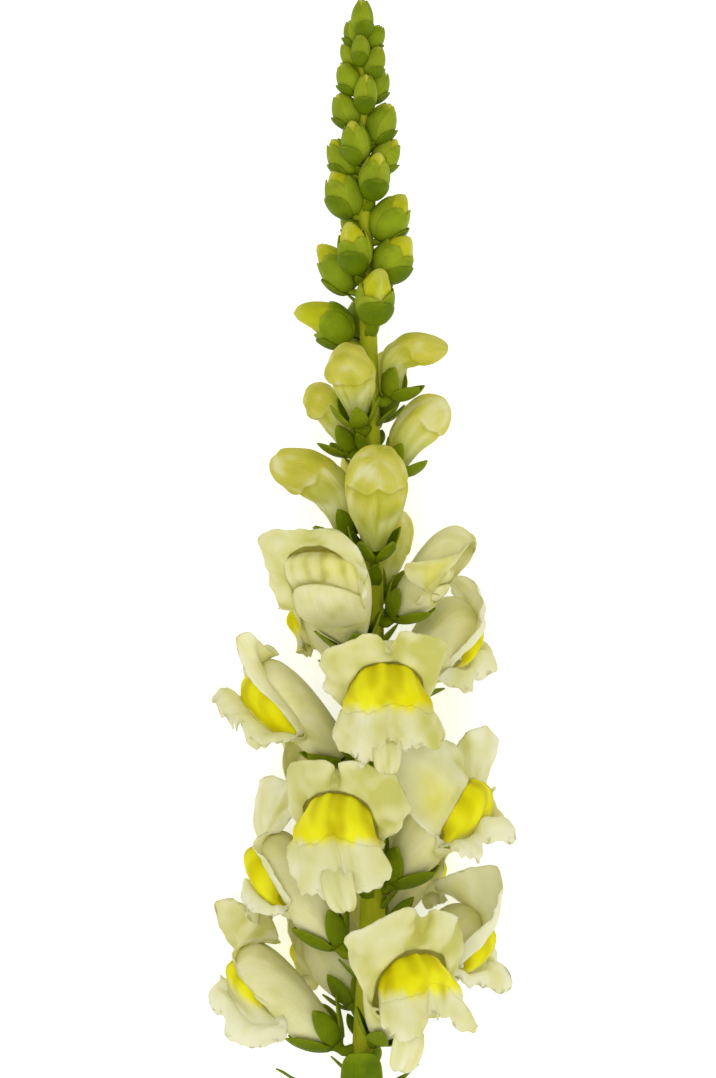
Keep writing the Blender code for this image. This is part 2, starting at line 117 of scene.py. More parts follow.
# The cleft between the two lips and the turn where it lies, the size of the edge's teeth, the
# height of its ruffles, and the turn where the lower lip's fold starts.
CORNER_CLEFT, CORNER_TURN = 0.25, 0.61
TOOTH = 0.005
RUFFLE = 0.9
LIP_START = 0.63
LIP_COLUMNS = 84
CREST_ROWS, FACE_ROWS, LOBE_ROWS = 8, 22, 20
PETAL_COLUMNS = 112
PETAL_ROWS = np.concatenate([np.linspace(0, 1, 18) ** 0.9, 1 + np.linspace(0, 1, 23)[1:]])
PETAL_THICKNESS, LOBE_THICKNESS = 0.28, 0.282

# A folded lip's rows from the throat over the front and in under the hood: each one's middle,
# the point half way to its side, and its side.
FOLDED_LIP = (
    ((0.0, -7.6, 12.0), (5.2, -6.8, 11.2), (7.9, -4.9, 10.6)),
    ((0.0, -9.3, 17.5), (5.6, -8.2, 15.8), (8.8, -4.9, 12.8)),
    ((0.0, -9.4, 21.6), (5.6, -8.2, 19.6), (9.2, -4.7, 14.8)),
    ((0.0, -8.4, 23.6), (5.4, -7.2, 21.6), (9.2, -4.4, 16.2)),
    ((0.0, -6.8, 22.8), (5.0, -5.8, 20.8), (9.1, -3.9, 16.8)),
    ((0.0, -6.9, 26.2), (5.8, -6.0, 24.6), (9.9, -3.4, 21.0)),
    ((0.0, -5.3, 28.8), (5.6, -4.8, 27.8), (9.9, -2.8, 25.0)),
    ((0.0, -2.6, 29.0), (4.8, -2.6, 28.4), (9.0, -2.0, 26.4)),
)
FOLDED_ROWS = 64
PALATE_FROM = 41

# BUD_WIDEST_AT is a portion of a bud's length. RIPE_BELOW and BRACTS_END lie along the stem: green
# buds are the riper the further they lie below the one, and have bracts below the other.
BUD_BASE_RADIUS = 2.6
BUD_WIDEST_AT = 0.62
BUD_COLUMNS = 96
RIPE_BELOW = 414
BRACTS_END = 420
GREEN_BUDS_SEED = 5
LEAF_STALK = 0.9
CALYX_THICKNESS, SCALE_THICKNESS = 0.45, 0.3
BRACT_THICKNESS, LEAF_THICKNESS = 0.4, 0.5
SCALE_ALONG = np.linspace(0, 1, 16)[:, None]
SCALE_ACROSS = np.linspace(-1, 1, 13)[None]

# name, node along, side, facing, rise, size, upper growth, lower growth, stalk
BLOOMS = (
    ("bloom_01", 178.5, 60, 64, 50, 1.08, 0.88, 1.15, 4.5),
    ("bloom_02", 175.5, 178, 184, 46, 1.09, 1.00, 0.90, 6.1),
    ("bloom_03", 186.0, 240, 242, 55, 0.88, 0.70, 0.60, 4.5),
    ("bloom_04", 185.8, 340, 340, 48, 0.97, 1.30, 0.80, 6.5),
    ("bloom_05", 201.0, 176, 185, 58, 1.04, 1.25, 0.85, 6.8),
    ("bloom_06", 207.0, 296, 296, 58, 0.90, 0.80, 0.70, 4.5),
    ("bloom_07", 222.5, 116, 107, 45, 1.03, 0.78, 1.15, 4.5),
    ("bloom_08", 219.6, 18, 12, 57, 1.08, 0.90, 0.95, 3.2),
    ("bloom_09", 267.0, 332, 336, 50, 0.96, 0.90, 0.90, 5.0),
    ("bloom_10", 232.0, 232, 236, 47, 0.88, 0.70, 0.60, 5.0),
    ("bloom_11", 250.0, 168, 162, 48, 1.05, 1.00, 0.90, 5.7),
    ("bloom_12", 256.8, 76, 86, 42, 1.04, 0.70, 1.12, 4.5),
    ("bloom_13", 252.0, 280, 278, 46, 0.88, 0.60, 0.60, 4.5),
    ("bloom_14", 273.0, 224, 226, 58, 0.82, 0.50, 0.50, 5.0),
    ("bloom_15", 280.5, 132, 118, 52, 1.10, 0.65, 0.80, 5.0),
    ("bloom_16", 288.0, 24, 13, 47, 0.91, 0.45, 0.30, 4.2),
)

# name, node along, side, rise, length, half width, stalk
CREAM_BUDS = (
    ("bud_01", 293.0, 288, 62, 25, 7.0, 4.0),
    ("bud_02", 304.0, 86, 64, 32, 8.4, 4.0),
    ("bud_03", 308.0, 180, 57, 29, 7.2, 5.0),
    ("bud_04", 314.0, 258, 60, 21, 6.2, 4.0),
    ("bud_05", 325.5, 0, 56, 23, 6.6, 4.5),
    ("bud_06", 331.0, 202, 56, 20, 5.8, 4.0),
    ("bud_07", 338.0, 120, 68, 23, 6.6, 4.5),
    ("bud_08", 340.0, 294, 62, 18, 5.4, 4.0),
    ("bud_09", 345.5, 12, 54, 19, 5.4, 4.0),
)

# node along, side, rise, length, half width, stalk
GREEN_BUDS = (
    (359.0, 183, 52, 15.0, 5.2, 4.0),
    (361.0, 258, 62, 13.5, 4.4, 2.5),
    (365.0, 74, 72, 15.0, 5.2, 2.5),
    (373.0, 192, 62, 15.0, 4.4, 3.0),
    (374.0, 300, 64, 12.5, 4.2, 2.5),
    (376.0, 26, 60, 13.5, 5.0, 3.0),
    (378.0, 122, 74, 14.0, 4.5, 2.5),
    (386.5, 12, 66, 14.0, 4.8, 2.0),
    (387.0, 245, 66, 12.0, 4.0, 2.0),
    (393.0, 170, 72, 13.0, 4.6, 2.0),
    (397.5, 60, 76, 12.5, 4.0, 2.0),
    (399.0, 300, 70, 11.0, 3.6, 1.5),
    (403.5, 185, 66, 11.0, 3.6, 2.0),
    (404.5, 10, 62, 10.0, 3.3, 2.0),
    (407.0, 120, 76, 11.5, 3.8, 1.5),
    (412.5, 15, 70, 11.0, 3.7, 1.5),
    (412.5, 240, 70, 9.5, 3.2, 1.5),
    (416.5, 172, 68, 9.5, 3.4, 1.5),
    (420.5, 80, 80, 10.0, 3.0, 1.0),
    (423.5, 340, 70, 9.0, 2.9, 1.0),
    (425.5, 165, 68, 8.5, 2.9, 1.0),
    (430.0, 30, 70, 8.0, 2.6, 1.0),
    (432.5, 200, 66, 7.0, 2.2, 1.0),
    (433.0, 100, 80, 8.0, 2.3, 0.8),
    (437.0, 350, 66, 7.0, 2.2, 0.8),
    (438.0, 190, 78, 7.0, 2.2, 0.5),
    (440.5, 90, 88, 10.0, 2.8, 0.0),
)

# name, node along, side, rise, length, half width, bluntness
LEAVES = (
    ("leaf_01", 38.0, 352, 38, 62, 6.5, 0.0),
    ("leaf_02", 52.0, 207, 36, 62, 7.0, 0.0),
    ("leaf_03", 68.0, 95, 48, 60, 6.2, 0.0),
    ("leaf_04", 84.0, 328, 34, 64, 6.8, 0.0),
    ("leaf_05", 99.0, 172, 40, 60, 6.2, 0.0),
    ("leaf_06", 113.0, 45, 46, 52, 5.6, 0.0),
    ("leaf_07", 126.0, 215, 44, 50, 5.4, 0.0),
    ("leaf_08", 138.0, 345, 48, 42, 4.6, 0.0),
    ("leaf_09", 157.0, 182, 44, 23, 3.4, 0.0),
    ("leaf_10", 151.0, 90, 76, 27, 5.6, 0.9),
    ("leaf_11", 160.0, 352, 56, 16, 2.8, 0.0),
)

# ---------------------------------------------------------------- places


def hermite(start, slope, end_slope, end, t):
    """A smooth way from start to end with these slopes at its ends, for t of 0 to 1."""
    return (
        start * (1 + 2 * t) * (1 - t) ** 2
        + slope * t * (1 - t) ** 2
        + end * t * t * (3 - 2 * t)
        + end_slope * t * t * (t - 1)
    )


def cubic(start, handle, other, end, t):
    """A Bezier curve between rows of points, read at one t or at many."""
    t = np.asarray(t)[..., None]
    return start * (1 - t) ** 3 + handle * 3 * t * (1 - t) ** 2 + other * 3 * t * t * (1 - t) + end * t**3


def smooth_through(stops, values, at):
    """A smooth curve through the values at the stops, read at one place (Catmull-Rom)."""
    i = int(np.clip(np.searchsorted(stops, at) - 1, 0, len(stops) - 2))
    step = stops[i + 1] - stops[i]
    slopes = []
    for k in (i, i + 1):
        low, high = max(k - 1, 0), min(k + 1, len(stops) - 1)
        slopes.append((values[high] - values[low]) / (stops[high] - stops[low]) * step)
    return hermite(values[i], *slopes, values[i + 1], (at - stops[i]) / step)


def smooth_round(stops, values, at, period):
    """A smooth curve through rows of values, which goes round, read at many places."""
    stops = np.concatenate([stops[-3:] - period, stops, stops[:3] + period])
    values = np.concatenate([values[-3:], values, values[:3]])
    slopes = np.gradient(values, stops, axis=0)
    i = np.clip(np.searchsorted(stops, at, side="right") - 1, 1, len(stops) - 3)
    step = (stops[i + 1] - stops[i])[..., None]
    t = (at - stops[i])[..., None] / step
    return hermite(values[i], slopes[i] * step, slopes[i + 1] * step, values[i + 1], t)


def smoothstep(low, high, x):
    """A soft step from 0 at low to 1 at high."""
    t = np.clip((x - low) / (high - low), 0, 1)
    return t * t * (3 - 2 * t)


def bump(x, middle, width):
    """A soft bump, 1 high at its middle."""
    return np.exp(-(((x - middle) / width) ** 2))


def bumps(x, spots):
    """The sum of bumps, each given by its middle, width and height."""
    total = np.zeros_like(x)
    for middle, width, height in spots:
        total += height * bump(x, middle, width)
    return total


def rounded_off(at, shoulder, power):
    """1 up to the shoulder, then rounding down to 0 at the end, for at of 0 to 1."""
    return np.sqrt(np.maximum(1 - np.clip((at - shoulder) / (1 - shoulder), 0, 1) ** power, 0))


def portions(count):
    """The ends of count equal steps from 0 to 1."""
    return np.linspace(0, 1, count + 1)[1:]


def seeded(name, factor=1, offset=0):
    """The random draws of a numbered organ."""
    return np.random.default_rng(int(name[-2:]) * factor + offset)


def unit(vector):
    """The direction of a vector."""
    return vector / np.linalg.norm(vector)


def crumple(points, rng, length):
    """A soft, uneven unrest through space, from about -1 to 1, for creases about length apart."""
    total = np.zeros(points.shape[:-1])
    for _ in range(CRUMPLE_WAVES):
        ahead, aside = rng.normal(size=(2, 3))
        rate = 2 * math.pi / (length * rng.uniform(0.7, 1.7))
        bend = 1.6 * np.sin(points @ unit(aside) * rate * 0.45 + rng.uniform(0, ANY_PHASE))
        total += np.sin(points @ unit(ahead) * rate + bend + rng.uniform(0, ANY_PHASE))
    return total / math.sqrt(CRUMPLE_WAVES * 2)


def normals_of(points):
    """The direction square to a grid of points, at each of them."""
    normal = np.cross(np.gradient(points, axis=1), np.gradient(points, axis=0))
    return normal / (np.linalg.norm(normal, axis=-1)[..., None] + TINY)


def pressed(points, clearance=PETAL_GAP):
    """The points, with any that would lie in the table pressed up to just above it."""
    points = np.array(points)
    points[..., 2] = np.maximum(points[..., 2], clearance)
    return points


def stem_at(along):
    """(centre, radius) of the stem at a distance from its cut end."""
    stops, *rows = np.array(STEM_PATH, float).T
    across, height, radius = (smooth_through(stops, row, along) for row in rows)
    return np.array((across, along, height)), radius


def outward(side):
    """The direction away from the stem at an angle round it: 0 is right and 90 is up."""
    angle = math.radians(side)
    return np.array((math.cos(angle), 0.0, math.sin(angle)))


class Seat:
    """Where an organ sits: its own x is across, y is up towards the stem, z is forward."""

    def __init__(self, along, side, rise, stalk, facing=None, size=1.0):
        centre, radius = stem_at(along)
        lean, rise = math.radians(STALK_RISE), math.radians(rise)
        reach = outward(side) * (radius + stalk * math.cos(lean))
        away = outward(side if facing is None else facing)
        self.side, self.size = side, size
        self.root = centre - outward(side) * radius * 0.5
        self.origin = centre + reach + TIPWARD * stalk * math.sin(lean)
        self.forward = away * math.cos(rise) + TIPWARD * math.sin(rise)
        self.up = TIPWARD * math.cos(rise) - away * math.sin(rise)
        self.across = np.cross(self.up, self.forward)
        self.axes = np.array((self.across, self.up, self.forward))

    def place(self, points):
        """Points of the organ, as rows of (across, up, forward), in the stem's millimetres."""
        return self.origin + points @ self.axes * self.size


# ---------------------------------------------------------------- meshes


class Skin:
    """Grids of points in the stem's millimetres that become one mesh.

    Each point carries its place on the organ as a UV (across, along), a tint from 0 to 1, and
    a fold that sets painted shading: under 0.5 for painted shade where the sheet lies in a valley,
    over it for paler thin places and painted highlights.
    """

    def __init__(self):
        self.points, self.faces, self.places, self.tints, self.folds = [], [], [], [], []
        self.count = 0

    def add(self, points, across=None, along=None, wrap=False, tint=0.0, fold=0.5, keep=None):
        """One more grid. wrap joins its last column to its first, and keep picks its faces."""
        rows, columns = points.shape[:2]
        place = np.empty((rows, columns + wrap, 2))
        place[..., 0] = np.linspace(0, 1, columns + wrap) if across is None else across
        place[..., 1] = np.reshape(np.linspace(0, 1, rows) if along is None else along, (rows, 1))
        index = self.count + np.arange(rows * columns).reshape(rows, columns)
        if wrap:
            index = np.hstack([index, index[:, :1]])
        near, far = slice(None, -1), slice(1, None)
        corners = ((near, near), (near, far), (far, far), (far, near))
        faces = np.stack([index[corner] for corner in corners], -1).reshape(-1, 4)
        places = np.stack([place[corner] for corner in corners], -2).reshape(-1, 4, 2)
        if keep is not None:
            faces, places = faces[keep.ravel()], places[keep.ravel()]
        self.faces.append(faces)
        self.places.append(places.reshape(-1, 2))
        self.points.append(points.reshape(-1, 3))
        self.tints.append(np.broadcast_to(tint, (rows, columns)).reshape(-1))
        self.folds.append(np.broadcast_to(fold, (rows, columns)).reshape(-1))
        self.count += rows * columns
        return self

    def build(self, name, material, slot, node, thickness=0.0, weld=False):
        """The piece of that name, which replaces the node of the frame."""
        points = (np.vstack(self.points) - FOOTPRINT_MIDDLE) * MM
        mesh = bpy.data.meshes.new(name)
        mesh.from_pydata(points.tolist(), [], np.vstack(self.faces).tolist())
        mesh.uv_layers.new(name="place").data.foreach_set("uv", np.vstack(self.places).ravel())
        for label, values in (("tint", self.tints), ("fold", self.folds)):
            layer = mesh.attributes.new(label, "FLOAT", "POINT")
            layer.data.foreach_set("value", np.hstack(values).astype(np.float32))
        bm = bmesh.new()
        bm.from_mesh(mesh)
        if weld:
            bmesh.ops.remove_doubles(bm, verts=bm.verts, dist=WELD * MM)
        bmesh.ops.delete(bm, geom=[vert for vert in bm.verts if not vert.link_faces], context="VERTS")
        bmesh.ops.recalc_face_normals(bm, faces=bm.faces)
        bm.to_mesh(mesh)
        bm.free()
        mesh.shade_smooth()
        mesh.materials.append(material)
        obj = bpy.data.objects.new(name, mesh)
        bpy.context.scene.collection.objects.link(obj)
        if thickness:
            solidify = obj.modifiers.new("thickness", "SOLIDIFY")
            solidify.thickness = thickness * MM
            solidify.offset = 0.0
            solidify.use_even_offset = False
        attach(obj, "root")
        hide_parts(node)


def sweep(path, radii, sides):
    """A tube's grid of points round a path, with rings square to it."""
    path = np.array(path, float)
    ahead = np.gradient(path, axis=0)
    ahead /= np.linalg.norm(ahead, axis=1)[:, None]
    normal = np.cross(ahead[0], (0.0, 0.0, 1.0))
    if np.linalg.norm(normal) < 0.1:
        normal = np.cross(ahead[0], (1.0, 0.0, 0.0))
    normal = unit(normal)
    first = []
    for direction in ahead:
        normal = unit(normal - direction * (normal @ direction))
        first.append(normal)
    first = np.array(first)
    second = np.cross(ahead, first)
    angle = np.arange(sides) / sides * 2 * math.pi
    radii = np.broadcast_to(np.reshape(radii, (len(path), -1)), (len(path), sides))
    ring = first[:, None] * np.cos(angle)[:, None] + second[:, None] * np.sin(angle)[:, None]
    return path[:, None] + ring * radii[..., None]


# ---------------------------------------------------------------- blooms


def mirrored(table):
    """A rib table with one mirrored rib more at each end, for a curve that goes round."""
    table = np.array(table, float)
    return np.vstack([table[1] * (-1, 1, 1), table, table[-2] * (-1, 1, 1)])


def between_ribs(table, turn):
    """A rib table's points at turns of -1 to 1, where 0 is the top midline (Catmull-Rom)."""
    at = np.abs(turn) * LAST_RIB
    i = np.minimum(at.astype(int), LAST_RIB - 1)
    t = (at - i)[..., None]
    before, start, end, after = table[i], table[i + 1], table[i + 2], table[i + 3]
    point = hermite(start, (end - before) / 2, (after - start) / 2, end, t)
    point[..., 0] *= np.where(turn < 0, -1, 1)
    return point


def same_shape(turn, along):
    """Both as arrays of one shape."""
    return np.broadcast_arrays(np.asarray(turn, float), np.asarray(along, float))


class Corolla:
    """One bloom's tube and lips, in the stem's millimetres.

    turn goes once round: 0 is the top midline and -1 and 1 the bottom one. along is 0 at the base,
    1 at the mouth and 2 at the edge of the lips.
    """

    def __init__(self, row, look):
        name, node, side, facing, rise, size, upper, lower, stalk = row
        self.name, self.look = name, look
        self.seat = Seat(node, side, rise, stalk, facing, size)
        self.rng = seeded(name, factor=7)
        growth = np.full((RIBS, 1), lower)
        growth[:UPPER_RIBS] = upper
        growth[CORNER_RIB] = (upper + lower) / 2
        mouth = np.array(MOUTH)
        angle = np.linspace(0, math.pi, RIBS)
        base = BASE_RADIUS * np.sin(angle), BASE_RADIUS * np.cos(angle), np.full(RIBS, BASE_FORWARD)
        handles = np.array((TUBE_HANDLE, HOOD_HANDLE))
        handles[..., 1] *= np.where(handles[..., 1] > 0, look["slim"], 1.0)
        lips = [mouth + (np.array(table) - mouth) * growth for table in (LIP_HANDLE, EDGE_HANDLE, EDGE)]
        self.tube = [mirrored(table) for table in (np.stack(base, -1), *handles, mouth)]
        self.lip = [mirrored(table) for table in (mouth, *lips)]
        uniform = self.rng.uniform
        self.ripples = [(uniform(7, 17), uniform(0, ANY_PHASE), uniform(-1.5, 1.5)) for _ in range(5)]
        self.teeth = [(uniform(14, 60), uniform(0, ANY_PHASE)) for _ in range(6)]
        self.streak = uniform(0, ANY_PHASE)
        self.draw_edge(look["edge"])

    def draw_edge(self, wanted):
        """Finds how far the edge is drawn aside at its ribs, to lie where the photograph shows it.

        A whole rib with no wanted place near it keeps its own.
        """
        stops = set(wanted)
        for rib in range(1 - LAST_RIB, LAST_RIB + 1):
            before = max((other for other in wanted if other < rib), default=-99)
            after = min((other for other in wanted if other > rib), default=99)
            if after - before > 2.1:
                stops.add(rib)
        self.stops = np.array(sorted(stops), float)
        edge = self.ruffled(self.stops / LAST_RIB, 2.0)
        self.pulls = np.zeros((len(stops), 3))
        for i, rib in enumerate(self.stops):
            if rib in wanted:
                self.pulls[i] = np.array(wanted[rib]) - (*edge[i][:2], 0)

    def reach(self, turn):
        """How far along its rib each part of the lips' edge lies, with the clefts between lobes."""
        look, size = self.look, np.abs(turn)
        reach = 1 - look["notch"] * bump(size, 0, 0.035) - look["cleft"] * bump(size, 1, 0.035)
        reach = reach - CORNER_CLEFT * bump(size, CORNER_TURN, 0.05)
        for rate, phase in self.teeth:
            reach = reach + TOOTH * np.sin(rate * turn * math.pi + phase)
        ragged = 0.5 + 0.5 * np.sin(turn * 95) * np.sin(turn * 41 + 1)
        return reach - bumps(turn, look["torn"]) * ragged

    def joint(self, side):
        """How far along the lower lip the palate's face ends, at sides of LIP_START to 1."""
        return 0.55 - 0.12 * np.clip((1 - side) / (1 - LIP_START), 0, 1)

    def smooth(self, turn, along):
        """The plain form, in the organ's own axes."""
        turn, along = same_shape(turn, along)
        tube = cubic(*[between_ribs(table, turn) for table in self.tube], np.clip(along, 0, 1))
        out = np.clip(along - 1, 0, 1.05)
        reached = out * (1 - (1 - self.reach(turn)) * smoothstep(0.35, 1, out))
        lip = cubic(*[between_ribs(table, turn) for table in self.lip], np.clip(reached, 0, 1.05))
        mouth = between_ribs(self.lip[0], turn)
        lip = mouth + (lip - mouth) * (1 - bumps(turn, self.look["snug"]))[..., None]
        return np.where((along > 1)[..., None], lip, tube)

    def facing(self, turn, along):
        """The way the sheet's inner side faces."""
        step = 0.01
        wide = self.smooth(turn + step, along) - self.smooth(turn - step, along)
        tall = self.smooth(turn, along + step) - self.smooth(turn, np.maximum(along - step, 0))
        normal = np.cross(wide, tall)
        return normal / (np.linalg.norm(normal, axis=-1)[..., None] + TINY)

    def ripple(self, turn, out):
        """How far the sheet stands out of its plain form, from about -1 to 1."""
        waves = (np.sin(rate * turn * math.pi + phase + slant * out) for rate, phase, slant in self.ripples)
        return 0.45 * sum(waves) * out**1.4

    def streaks(self, turn, along):
        """Long, soft folds down the tube, from about -1 to 1."""
        waves = 0.6 * np.sin(turn * 21 + self.streak + along) + 0.4 * np.sin(turn * 37 - 2 * self.streak)
        return waves * smoothstep(0.1, 0.5, along) * (1 - smoothstep(1.0, 1.5, along))

    def ruffled(self, turn, along):
        """The sheet with its ruffles and folds, in the stem's millimetres."""
        look = self.look
        turn, along = same_shape(turn, along)
        out = np.clip(along - 1, 0, 1)
        depth = RUFFLE * np.where(np.abs(turn) < 0.6, 0.8, 1.0)
        lift = self.ripple(turn, out) * depth + 0.18 * self.streaks(turn, along)
        lift = lift - look["valley"] * bump(turn, 0, 0.07) * smoothstep(0.0, 0.45, out)
        lift = lift - bumps(turn, look["creased"]) * smoothstep(0.0, 0.5, out)
        lift = lift - bumps(turn, look["filled"]) * bump(along, 1.0, 0.22)
        return self.seat.place(self.smooth(turn, along) + self.facing(turn, along) * lift[..., None])

    def point(self, turn, along):
        """Places on the sheet, ruffled and drawn to where this bloom's lobes lie."""
        turn, along = same_shape(turn, along)
        out = np.clip(along - 1, 0, 1)
        pull = smooth_round(self.stops, self.pulls, turn * LAST_RIB, 2 * LAST_RIB)
        return self.ruffled(turn, along) + pull * (out**1.35)[..., None]

    def fold(self, turn, along):
        """The painted shading: under 0.5 for painted shade, and over it for paler thin places and painted
        highlights.
        """
        look = self.look
        turn, along = same_shape(turn, along)
        out = np.clip(along - 1, 0, 1)
        # Painted shade in the ripples' valleys and the hood's middle dip, painted highlight on the ripples'
        # crests.
        fold = 0.5 + 0.22 * self.ripple(turn, out) - 0.35 * bump(turn, 0, 0.09) * smoothstep(0, 0.3, out)
        # Painted shade at the mouth, where the lips turn out from the tube.
        fold = fold - 0.24 * (1 - bumps(turn, look["snug"])) * bump(along, 1.05, 0.22)
        # The thin edge is paler, partly painted highlight; the tube's streaks get painted shade and
        # highlight.
        fold = fold + 0.18 * smoothstep(0.7, 1.0, out) + 0.16 * self.streaks(turn, along)
        # Painted shade in the look's shade bumps.
        fold = fold - bumps(turn, look["shade"]) * smoothstep(0.05, 0.4, out)
        # pale: the outer part painted paler, partly its own whiter colour and partly painted light.
        return fold + look["pale"] * smoothstep(0.75, 1.3, along)


def even_columns(count):
    """Turns from -1 to 1, closer together at the clefts of the lips."""
    fine = np.linspace(-1, 1, 2001)
    size = np.abs(fine)
    density = 1 + 1.5 * bump(size, 0, 0.07) + 1.2 * bump(size, CORNER_TURN, 0.08) + 1.5 * bump(size, 1, 0.06)
    total = np.concatenate([[0], np.cumsum((density[1:] + density[:-1]) / 2)])
    return np.interp(np.linspace(0, total[-1], count + 1), total, fine)


def make_bloom(row, look, materials):
    """The tube, hood and upper lip, with the floor of the tube as far as the lower lip's fold."""
    corolla = Corolla(row, look)
    edges = even_columns(PETAL_COLUMNS)
    turn, rows = edges[None, :-1], PETAL_ROWS[:, None]
    points = corolla.point(turn, rows)
    out = smoothstep(0.1, 1.7, rows)
    creases = crumple(points, corolla.rng, 6.5)
    fine = crumple(points, corolla.rng, 2.6)
    lift = (0.46 * creases + 0.08 * fine) * out
    points = pressed(points + normals_of(points) * lift[..., None])
    foot = corolla.seat.place(np.array((0.0, 0.0, BASE_FORWARD - 0.4)))
    points = np.concatenate([np.broadcast_to(foot, (1, PETAL_COLUMNS, 3)), points])
    along = np.concatenate([[0], PETAL_ROWS / 2])
    side = (np.abs(edges[:-1]) + np.abs(edges[1:])) / 2
    floor_end = 1.02 if look["half_open"] else 1.3
    keep = (side[None] < LIP_START + 0.02) | (along[:-1, None] * 2 < floor_end)
    # Painted shade in the crumpled creases' valleys, and painted highlight on their crests.
    fold = corolla.fold(turn, rows) + (0.20 * creases + 0.08 * fine) * (0.4 + 0.6 * out)
    fold = np.vstack([np.full(PETAL_COLUMNS, 0.5), fold])
    tint = np.zeros_like(fold)
    for middle, place, amount in look["blush"]:
        tint[1:] += amount * bump(turn, middle, 0.10) * bump(rows, place, 0.28)
    skin = Skin().add(points, (edges + 1) / 2, along, wrap=True, keep=keep, tint=tint, fold=fold)
    skin.build(corolla.name, materials["petal"], "cream", corolla.name, PETAL_THICKNESS, weld=True)
    if look["half_open"]:
        make_folded_lip(corolla, materials)
    else:
        make_lower_lip(corolla, materials)
    return corolla.seat


def crest(seat, ring, half_sizes, swell):
    """Rows over the upper half of the palate's cushion, down to its widest line."""
    rows = []
    for lift in np.radians(np.linspace(62, 0, CREST_ROWS)):
        point = ring * math.cos(lift) + np.array((0, math.sin(lift), 0))
        rows.append(seat.place(PALATE_CENTRE + point * half_sizes * swell[:, None]))
    return rows


def rolled_apron(corolla, start, ring, turn):
    """Rows that roll over from the crest to the lower lip, and follow it to its edge."""
    joint = corolla.joint(np.abs(turn))
    foot = corolla.point(turn, 1 + joint)
    slope = corolla.point(turn, 1 + joint + 0.04) - corolla.point(turn, 1 + joint - 0.04)
    slope /= np.linalg.norm(slope, axis=-1)[:, None] + TINY
    span = np.linalg.norm(foot - start, axis=-1)[:, None]
    first = start + (0.30 * (ring @ corolla.seat.axes) - corolla.seat.up) * span * corolla.look["bulge"]
    last = foot - slope * span * 0.35
    rolling = [cubic(start, first, last, foot, t) for t in portions(FACE_ROWS)]
    return rolling + [corolla.point(turn, 1 + joint + (1 - joint) * t) for t in portions(LOBE_ROWS)]


def hanging_apron(corolla, start, ring, turn):
    """Rows that fall from the crest straight to the edge of the side lobes."""
    edge, plain = corolla.point(turn, 2.0), corolla.point(turn, 1.6)
    span = np.linalg.norm(edge - start, axis=-1)[:, None]
    first = start + (0.26 * (ring @ corolla.seat.axes) - corolla.seat.up) * span * corolla.look["bulge"]
    last = edge + (start - edge) * 0.35 + (plain - edge) * 0.25
    return [cubic(start, first, last, edge, t) for t in portions(FACE_ROWS + LOBE_ROWS)]


def lip_tint(look, points, fall, angle):
    """1 where the lower lip is yellow and 0 where it is cream, with a scalloped line between."""
    low, high = look["yellow"]
    scallop = 0.6 * np.cos(angle * 7) + 0.4 * np.cos(angle * 17)
    if look["rolled"]:
        return 1 - smoothstep(low, high, fall + 0.03 * scallop)
    drop = points[CREST_ROWS - 1, LIP_COLUMNS // 2, 1] - points[..., 1]
    return 1 - smoothstep(low, high, drop + scallop)


def build_palate(skin, name, materials):
    """The piece with a lower lip's yellow fold."""
    skin.build(f"{name}_palate", materials["petal"], "yellow", f"{name}_palate", PETAL_THICKNESS)


def build_lobes(skin, name, materials):
    """The piece with a lower lip's lobes."""
    skin.build(f"{name}_lobes", materials["petal"], "cream", name, LOBE_THICKNESS)


